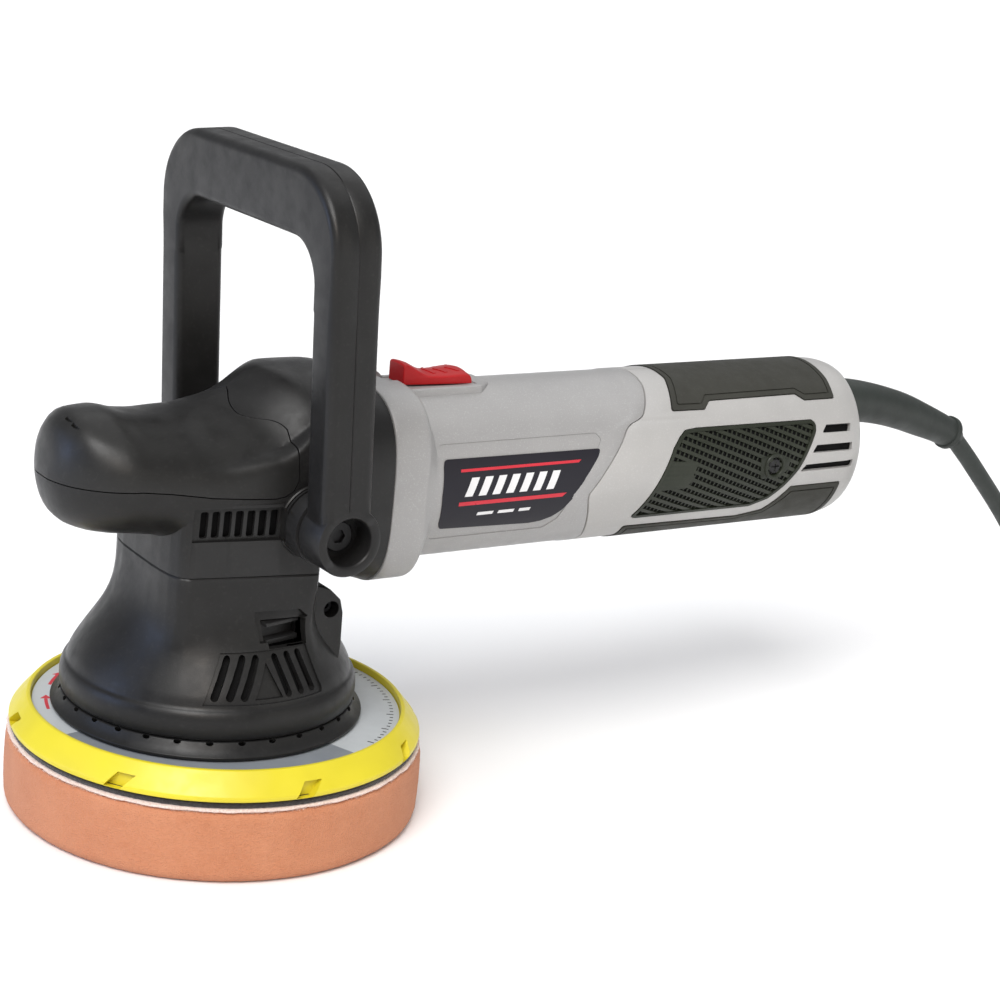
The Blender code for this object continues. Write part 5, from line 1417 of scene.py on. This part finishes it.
def make_shells():
    m = 176
    wy = cubic_tab([205, 270, 273, 276, 279, 282, 284, 286, 287.6, 288.7, 289.5], [BR, BR, 33.2, 32.6, 31.4, 29.4, 27.2, 24.4, 21.5, 18.4, 15.0])
    wz = cubic_tab([205, 270, 273, 276, 279, 282, 284, 286, 287.6, 288.7, 289.5], [BR, BR, 33.35, 33.2, 32.8, 32.0, 31.2, 29.8, 28.2, 26.2, 24.0])
    out = [seam_ring(BR - 0.45, 0.42, m), seam_ring(BR - 0.12, 0.62, m)]
    e1 = seam_ring(BR, 1.0, m)
    out.append(e1)
    out += [ell(x, float(wy(x)), float(wz(x)), m) for x in (205, 240, 266, 270, 272, 274, 276, 278, 280, 281.5, 283, 284.5, 286, 287.2, 288.2, 289.0, 289.5)]
    inn = [seam_ring(BR_IN, 0.42, m), ell(205.0, BR_IN, BR_IN, m), ell(270.0, BR_IN, BR_IN, m), ell(281.0, 25.5, 28.6, m), ell(286.0, 15.0, 23.0, m)]
    body = cup('grip_shell_left', out, inn)
    top = sheet_solid('w1', smooth_poly(TOP_INLAY, 1.1, 3, KY), barrel_map(), -1.5, 3.0, step_v=3.0)
    low = sheet_solid('w2', smooth_poly(LOW_INLAY, 1.1, 3, KY), barrel_map(), -1.5, 3.0, step_v=3.0)
    cut(body, top, low)
    for mir in (False, True):
        cut(body, sheet_solid('w3', smooth_poly(GRILLE, 2.2, 4, KY), barrel_map(mir), -1.6, 3.0, step_v=3.0))
        gr = []
        for poly in REAR_SLOTS:
            gr.append(sheet_solid('g', smooth_poly(poly, 0.6, 3, KY), barrel_map(mir), -2.2, 3.0, step_v=3.0))
        cut(body, merged('gr', gr))
    cut(body, rod('bh', 9.5, 278.0, 292.0, 48, 'X', (0, 136.0)), box('ds', 281.0, 294.0, -2.9, 2.9, 93.6, 114.2))
    cut(body, rod('sh', 3.5, -36.0, -28.0, 32, 'Y', (232.7, ZB - 1.2)), rod('sh', 3.5, 28.0, 36.0, 32, 'Y', (232.7, ZB - 1.2)))
    right = copy_of(body, 'grip_shell_right')
    keep(body, box('k', 100, 320, -60, -0.12, 60, 180))
    keep(right, box('k', 100, 320, 0.12, 60, 60, 180))
    return body, right


gl, gr_ = make_shells()
finish_piece(gl, 'body', 'light_grey', replaces=('rear_shell_left',), angle=34)
finish_piece(gr_, 'body', 'light_grey', replaces=('rear_shell_right',), angle=34)
# near-black sheets at the bottom of the rear slots: painted shade in the slots
for mir, tag in ((False, 'left'), (True, 'right')):
    shade_sheets = [sheet_solid('f', smooth_poly(offset_poly(q, 0.15, KY), 0.6, 3, KY), barrel_map(mir), -2.12, -1.75, step_v=3.0) for q in REAR_SLOTS]
    finish_piece(merged('outlet_shade_sheet_' + tag, shade_sheets), 'body', 'light_grey', 'liner', angle=34)


def make_inlay(name, outline, top_d):
    """Rubber pad with a rounded border and a moulded line inside its edge."""
    fm = barrel_map()
    o1 = smooth_poly(offset_poly(outline, 0.32, KY), 1.0, 3, KY)
    pad = sheet_solid(name, o1, fm, -1.2, top_d, step_v=2.4)
    bevelled(pad, 0.35, 2, 55)
    a = smooth_poly(offset_poly(outline, 2.3, KY), 0.9, 3, KY)
    b = smooth_poly(offset_poly(outline, 2.95, KY), 0.7, 3, KY)
    ring_cut = sheet_solid('rc', a, fm, top_d - 0.38, top_d + 2.0, step_v=2.4)
    cut(ring_cut, sheet_solid('rb', b, fm, top_d - 1.5, top_d + 4.0, step_v=2.4))
    cut(pad, ring_cut)
    return pad


finish_piece(make_inlay('grip_pad_top', TOP_INLAY, 0.5), 'body', 'grip_rubber', replaces=('top_grip_inlay',), angle=34)
finish_piece(make_inlay('grip_pad_low', LOW_INLAY, 0.4), 'body', 'grip_rubber', replaces=('lower_grip_inlay',), angle=34)


def make_grille(mir, tag):
    """Intake grille: base, rounded frame, diagonal slats over fine cross ribs,
    a plain raised panel and the screw boss."""
    fm = barrel_map(mir)
    def mm_(poly):
        return [(x, e * KY) for x, e in poly]
    def deg(poly):
        return [(x, y / KY) for x, y in poly]
    outer = smooth_poly(offset_poly(GRILLE, 0.35, KY), 1.9, 4, KY)
    inner_raw = offset_poly(GRILLE, 1.75, KY)
    inner = smooth_poly(inner_raw, 1.2, 3, KY)
    base = sheet_solid('grille_' + tag, outer, fm, -1.35, -0.95, step_v=3.0)
    frame_r = sheet_solid('fr', outer, fm, -1.3, 0.25, step_v=3.0)
    bevelled(frame_r, 0.4, 2, 55)
    cut(frame_r, sheet_solid('fi', inner, fm, -2.5, 2.5, step_v=3.0))
    lim = mm_(inner_raw)
    cx, cy = 212.0, -3.0 * KY
    ang = math.radians(-21.0)
    d = Vector((math.cos(ang), math.sin(ang)))
    n = Vector((-d.y, d.x))
    c = Vector((cx, cy))
    slats, ribs = [], []
    pitch = 3.15
    for k in range(-16, 17):
        o = c + n * (k * pitch)
        q = [o - d * 70 - n * 0.72, o + d * 70 - n * 0.72, o + d * 70 + n * 0.72, o - d * 70 + n * 0.72]
        p = clip_convex([tuple(v) for v in q], lim)
        if p and len(p) > 2:
            a = abs(sum(p[i][0] * p[(i + 1) % len(p)][1] - p[(i + 1) % len(p)][0] * p[i][1] for i in range(len(p)))) / 2
            if a > 1.5:
                slats.append(sheet_solid('s', deg(p), fm, -0.85, -0.05, step_v=3.0))
    for k in range(-40, 41):
        o = c + d * (k * 2.3)
        q = [o - n * 60 - d * 0.34, o - n * 60 + d * 0.34, o + n * 60 + d * 0.34, o + n * 60 - d * 0.34]
        p = clip_convex([tuple(v) for v in q], lim)
        if p and len(p) > 2:
            a = abs(sum(p[i][0] * p[(i + 1) % len(p)][1] - p[(i + 1) % len(p)][0] * p[i][1] for i in range(len(p)))) / 2
            if a > 1.0:
                ribs.append(sheet_solid('r', deg(p), fm, -0.93, -0.55, step_v=6.0))
    if mir:
        pass
    slat = merged('grille_slats_' + tag, slats)
    rib = merged('grille_ribs_' + tag, ribs)
    panel = sheet_solid('grille_panel_' + tag, smooth_poly([(174.0, 8.5), (193.0, 6.0), (190.5, -3.0), (192.0, -4.0), (188.0, -12.5), (169.6, -12.5)], 1.0, 3, KY), fm, -0.9, 0.02, step_v=3.0)
    keep(panel, sheet_solid('pc', smooth_poly(offset_poly(GRILLE, 1.6, KY), 1.3, 3, KY), fm, -2.5, 2.5, step_v=3.0))
    s = 1 if mir else -1
    x0, z0 = 232.7, ZB - 1.2
    block = sheet_solid('grille_boss_pad_' + tag, smooth_poly([(224.6, 6.0), (241.0, 3.0), (239.5, -7.0), (226.2, -11.5)], 2.0, 4, KY), fm, -0.9, 0.0, step_v=3.0)
    bevelled(block, 0.3, 2, 55)
    boss = revolve('grille_boss_' + tag, [(3.6, s * 32.2), (5.4, s * 32.2), (5.4, s * 33.6), (5.1, s * 34.0), (4.2, s * 34.0), (3.8, s * 33.6)], 48, 'Y', (x0, z0), ring=True)
    hole = rod('h', 3.7, min(s * 28, s * 37), max(s * 28, s * 37), 40, 'Y', (x0, z0))
    for o in (base, slat, rib, block):
        pass
    cut(base, copy_of(hole, 'h1'))
    cut(block, hole)
    # the base under the slats is near-black: painted shade for the open space behind the grille
    finish_piece(base, 'body', 'grille_green', 'liner', replaces=('side_grille_' + tag,), angle=34)
    for o in (frame_r, slat, rib, panel, block, boss):
        if o is frame_r:
            o.name = 'grille_frame_' + tag
        finish_piece(o, 'body', 'grille_green', angle=34)
    # recessed screw
    sc = revolve('grille_fixing_' + tag, [(0, s * 27.0), (1.6, s * 27.0), (1.6, s * 30.2), (3.1, s * 30.6), (3.1, s * 33.0), (2.7, s * 33.4), (0, s * 33.5)], 40, 'Y', (x0, z0))
    cross = merged('x', [box('a', x0 - 2.0, x0 + 2.0, min(s * 32.6, s * 35), max(s * 32.6, s * 35), z0 - 0.32, z0 + 0.32)])
    cross2 = box('b', x0 - 0.32, x0 + 0.32, min(s * 32.6, s * 35), max(s * 32.6, s * 35), z0 - 2.0, z0 + 2.0)
    cut(sc, cross)
    cut(sc, cross2)
    finish_piece(sc, 'body', 'steel', 'module', replaces=('grille_screw_' + tag,), angle=34)


make_grille(False, 'left')
make_grille(True, 'right')


# ============================================================ boot, cord and plug
def make_boot():
    m = 56
    pts = catmull([(x, 0, z) for x, z, r in BOOT], 2.6)
    rtab = cubic_tab([p[0] for p in BOOT], [p[2] for p in BOOT])
    rings = []
    for i, p in enumerate(pts):
        d = (pts[min(i + 1, len(pts) - 1)] - pts[max(i - 1, 0)]).normalized()
        up = Vector((-d.z, 0, d.x))
        r = float(rtab(p.x))
        rings.append([tuple(p + up * (r * math.sin(2 * math.pi * k / m)) + Vector((0, r * math.cos(2 * math.pi * k / m), 0))) for k in range(m)])
    d = (pts[-1] - pts[-2]).normalized()
    up = Vector((-d.z, 0, d.x))
    for adv, r in ((0.25, 6.7), (0.4, 7.3), (0.8, 7.55), (2.6, 7.55), (3.1, 7.3), (3.8, 6.4), (4.2, 5.4)):
        c = pts[-1] + d * adv
        rings.append([tuple(c + up * (r * math.sin(2 * math.pi * k / m)) + Vector((0, r * math.cos(2 * math.pi * k / m), 0))) for k in range(m)])
    # short lip that bends with the cord and closes on it
    for x, z, dx, dz, r in ((367.3, 114.3, 0.84, -0.54, 4.9), (368.3, 113.3, 0.735, -0.678, 4.6), (368.7, 112.9, 0.735, -0.678, 4.25)):
        up = Vector((-dz, 0, dx))
        rings.append([tuple(Vector((x, 0, z)) + up * (r * math.sin(2 * math.pi * k / m)) + Vector((0, r * math.cos(2 * math.pi * k / m), 0))) for k in range(m)])
    return loft('cord_boot', rings)


finish_piece(make_boot(), 'body', 'cord_black', replaces=('strain_relief_boot',), angle=40)


def make_plug():
    (x0, y0, z0), (x1, y1, z1) = [[c / MM for c in v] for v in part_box('plug_body')]
    yc, zc = (y0 + y1) / 2, (z0 + z1) / 2
    tab = [(0.0, 5.4, 5.4), (1.0, 6.2, 6.0), (4.0, 7.0, 6.6), (11.0, 9.0, 7.2), (19.0, 13.0, 7.7), (28.0, 16.6, 7.9), (34.0, 17.7, 7.95), (42.0, 17.7, 7.95), (43.8, 17.2, 7.5), (44.5, 16.0, 6.6)]
    hw = cubic_tab([t[0] for t in tab], [t[1] for t in tab])
    hh = cubic_tab([t[0] for t in tab], [t[2] for t in tab])
    rings = []
    L = x1 - x0
    for s in [0, 0.4, 1, 2, 4, 6, 8, 11, 14, 17, 20, 24, 28, 31, 34, 38, 41, 42.5, 43.4, 44.0, 44.5]:
        a, b = float(hw(s)), float(hh(s))
        n = 2.2 + 2.2 * min(1, s / 30)
        ring_ = []
        for i in range(64):
            t = 2 * math.pi * i / 64
            r = (abs(math.cos(t) / a) ** n + abs(math.sin(t) / b) ** n) ** (-1.0 / n)
            ring_.append((x0 + s * L / 44.5, yc + r * math.cos(t), zc + r * math.sin(t)))
        rings.append(ring_)
    p = loft('mains_plug', rings)
    cuts = []
    for k in range(4):
        for s in (-1, 1):
            cuts.append(box('g', x0 + 13 + 3.2 * k, x0 + 14.3 + 3.2 * k, yc - 9, yc + 9, zc + s * 7.0 - 0.9 * (s < 0) * 2, zc + s * 7.0 + 0.9 * (s > 0) * 2))
    cut(p, merged('gr', cuts))
    return p


plug = finish_piece(make_plug(), 'body', 'cord_black', replaces=('plug_body',), angle=35)
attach(cord, 'body')
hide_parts('power_cord', 'cord_coil')

# ============================================================ small hardware that shows
for s, tag in ((-1, 'left'), (1, 'right')):
    prof = [(0, s * 27.2), (2.7, s * 27.2), (2.7, s * 29.4), (2.4, s * 29.7), (0, s * 29.7)]
    k = revolve('lug_fixing_' + tag, prof, 36, 'Y', (29.5, 81.4))
    hexc = [(29.5 + 1.4 * math.cos(math.radians(60 * i)), 81.4 + 1.4 * math.sin(math.radians(60 * i))) for i in range(6)]
    cut(k, prism('hx', hexc, 'XZ', min(s * 28.5, s * 39), max(s * 28.5, s * 39)))
    finish_piece(k, 'body', 'steel', 'module', replaces=('lug_screw_' + tag,), angle=34)
    prof = [(0, s * 34.0), (4.0, s * 34.0), (4.0, s * 54.0), (5.5, s * 54.0), (5.5, s * 55.6), (5.1, s * 56.0), (0, s * 56.0)]
    k = revolve('grip_bolt_' + tag, prof, 48, 'Y', PIV)
    hexc = [(PIV[0] + 2.6 * math.cos(math.radians(60 * i)), PIV[1] + 2.6 * math.sin(math.radians(60 * i))) for i in range(6)]
    cut(k, prism('hx', hexc, 'XZ', min(s * 54.4, s * 59), max(s * 54.4, s * 59)))
    finish_piece(k, 'body', 'steel', 'module', replaces=('handle_bolt_' + tag,), angle=34)

wheel = revolve('speed_wheel', [(0, -2.5), (8.0, -2.5), (8.4, -2.1), (8.4, 2.1), (8.0, 2.5), (0, 2.5)], 72, 'Y', (283.4, 103.9))
teeth = []
for k in range(24):
    b = box('t', 283.4 + 8.0, 283.4 + 9.0, -2.2, 2.2, 103.9 - 0.55, 103.9 + 0.55)
    teeth.append(turn(b, 2 * math.pi * k / 24, 'Y', (283.4, 0, 103.9)))
join(wheel, merged('th', teeth))
finish_piece(wheel, 'dial', 'black_plastic', replaces=('speed_dial',), angle=34)

# ============================================================ stage and light
floor_me = bpy.data.meshes.new("floor")
floor_me.from_pydata([(-45, -45, 0), (45, -45, 0), (45, 45, 0), (-45, 45, 0)], [], [(0, 1, 2, 3)])
floor = new_obj("floor", floor_me)
m, nt, sh = node_mat("floor_white")
sh.inputs["Base Color"].default_value = (0.94, 0.94, 0.94, 1)
sh.inputs["Roughness"].default_value = 0.9
sh.inputs["Specular IOR Level"].default_value = 0.1
floor_me.materials.append(m)

# white studio: a bright horizon behind the tool, a dimmer ceiling above it
world = bpy.data.worlds.new("studio")
scene.world = world
world.use_nodes = True
wn = world.node_tree
wtc = wn.nodes.new("ShaderNodeTexCoord")
wsep = wn.nodes.new("ShaderNodeSeparateXYZ")
wn.links.new(wtc.outputs["Generated"], wsep.inputs[0])
wr = wn.nodes.new("ShaderNodeValToRGB")
wr.color_ramp.elements[0].position = 0.02
wr.color_ramp.elements[0].color = (1.0, 1.0, 1.0, 1)
wr.color_ramp.elements[1].position = 0.16
wr.color_ramp.elements[1].color = (0.36, 0.365, 0.375, 1)
wn.links.new(wsep.outputs["Z"], wr.inputs["Fac"])
wn.links.new(wr.outputs["Color"], wn.nodes["Background"].inputs["Color"])
wn.nodes["Background"].inputs["Strength"].default_value = 1.0


def area(name, loc, target, size, power, color=(1, 1, 1)):
    li = bpy.data.lights.new(name, 'AREA')
    li.energy = power
    li.color = color
    li.size = size
    ob = bpy.data.objects.new(name, li)
    scene.collection.objects.link(ob)
    ob.location = loc
    ob.rotation_euler = (Vector(target) - Vector(loc)).to_track_quat('-Z', 'Y').to_euler()
    return ob


def wide(name, to_light, strength, spread, color=(1, 1, 1)):
    """A very large soft source far away, so the floor is lit evenly."""
    li = bpy.data.lights.new(name, 'SUN')
    li.energy = strength
    li.angle = math.radians(spread)
    li.color = color
    ob = bpy.data.objects.new(name, li)
    scene.collection.objects.link(ob)
    ob.rotation_euler = Vector(to_light).to_track_quat('Z', 'Y').to_euler()
    return ob


wide("key", (-0.46, -0.42, 0.80), 2.5, 34.0, (1.0, 0.995, 0.985))
wide("overhead", (0.35, 0.25, 0.9), 0.75, 70.0)
area("left_box", (-1.5, 0.45, 0.50), (-0.02, 0, 0.10), 0.7, 5.5, (0.42, 0.58, 1.0))
area("warm_box", (-0.64, -1.05, 0.92), (0, 0, 0.10), 0.30, 3.0, (1.0, 0.84, 0.70))
area("front_box", (0.75, -1.35, 0.55), (0.1, 0, 0.1), 0.8, 1.7, (1.0, 0.95, 0.86))
scene.view_settings.view_transform = 'Standard'
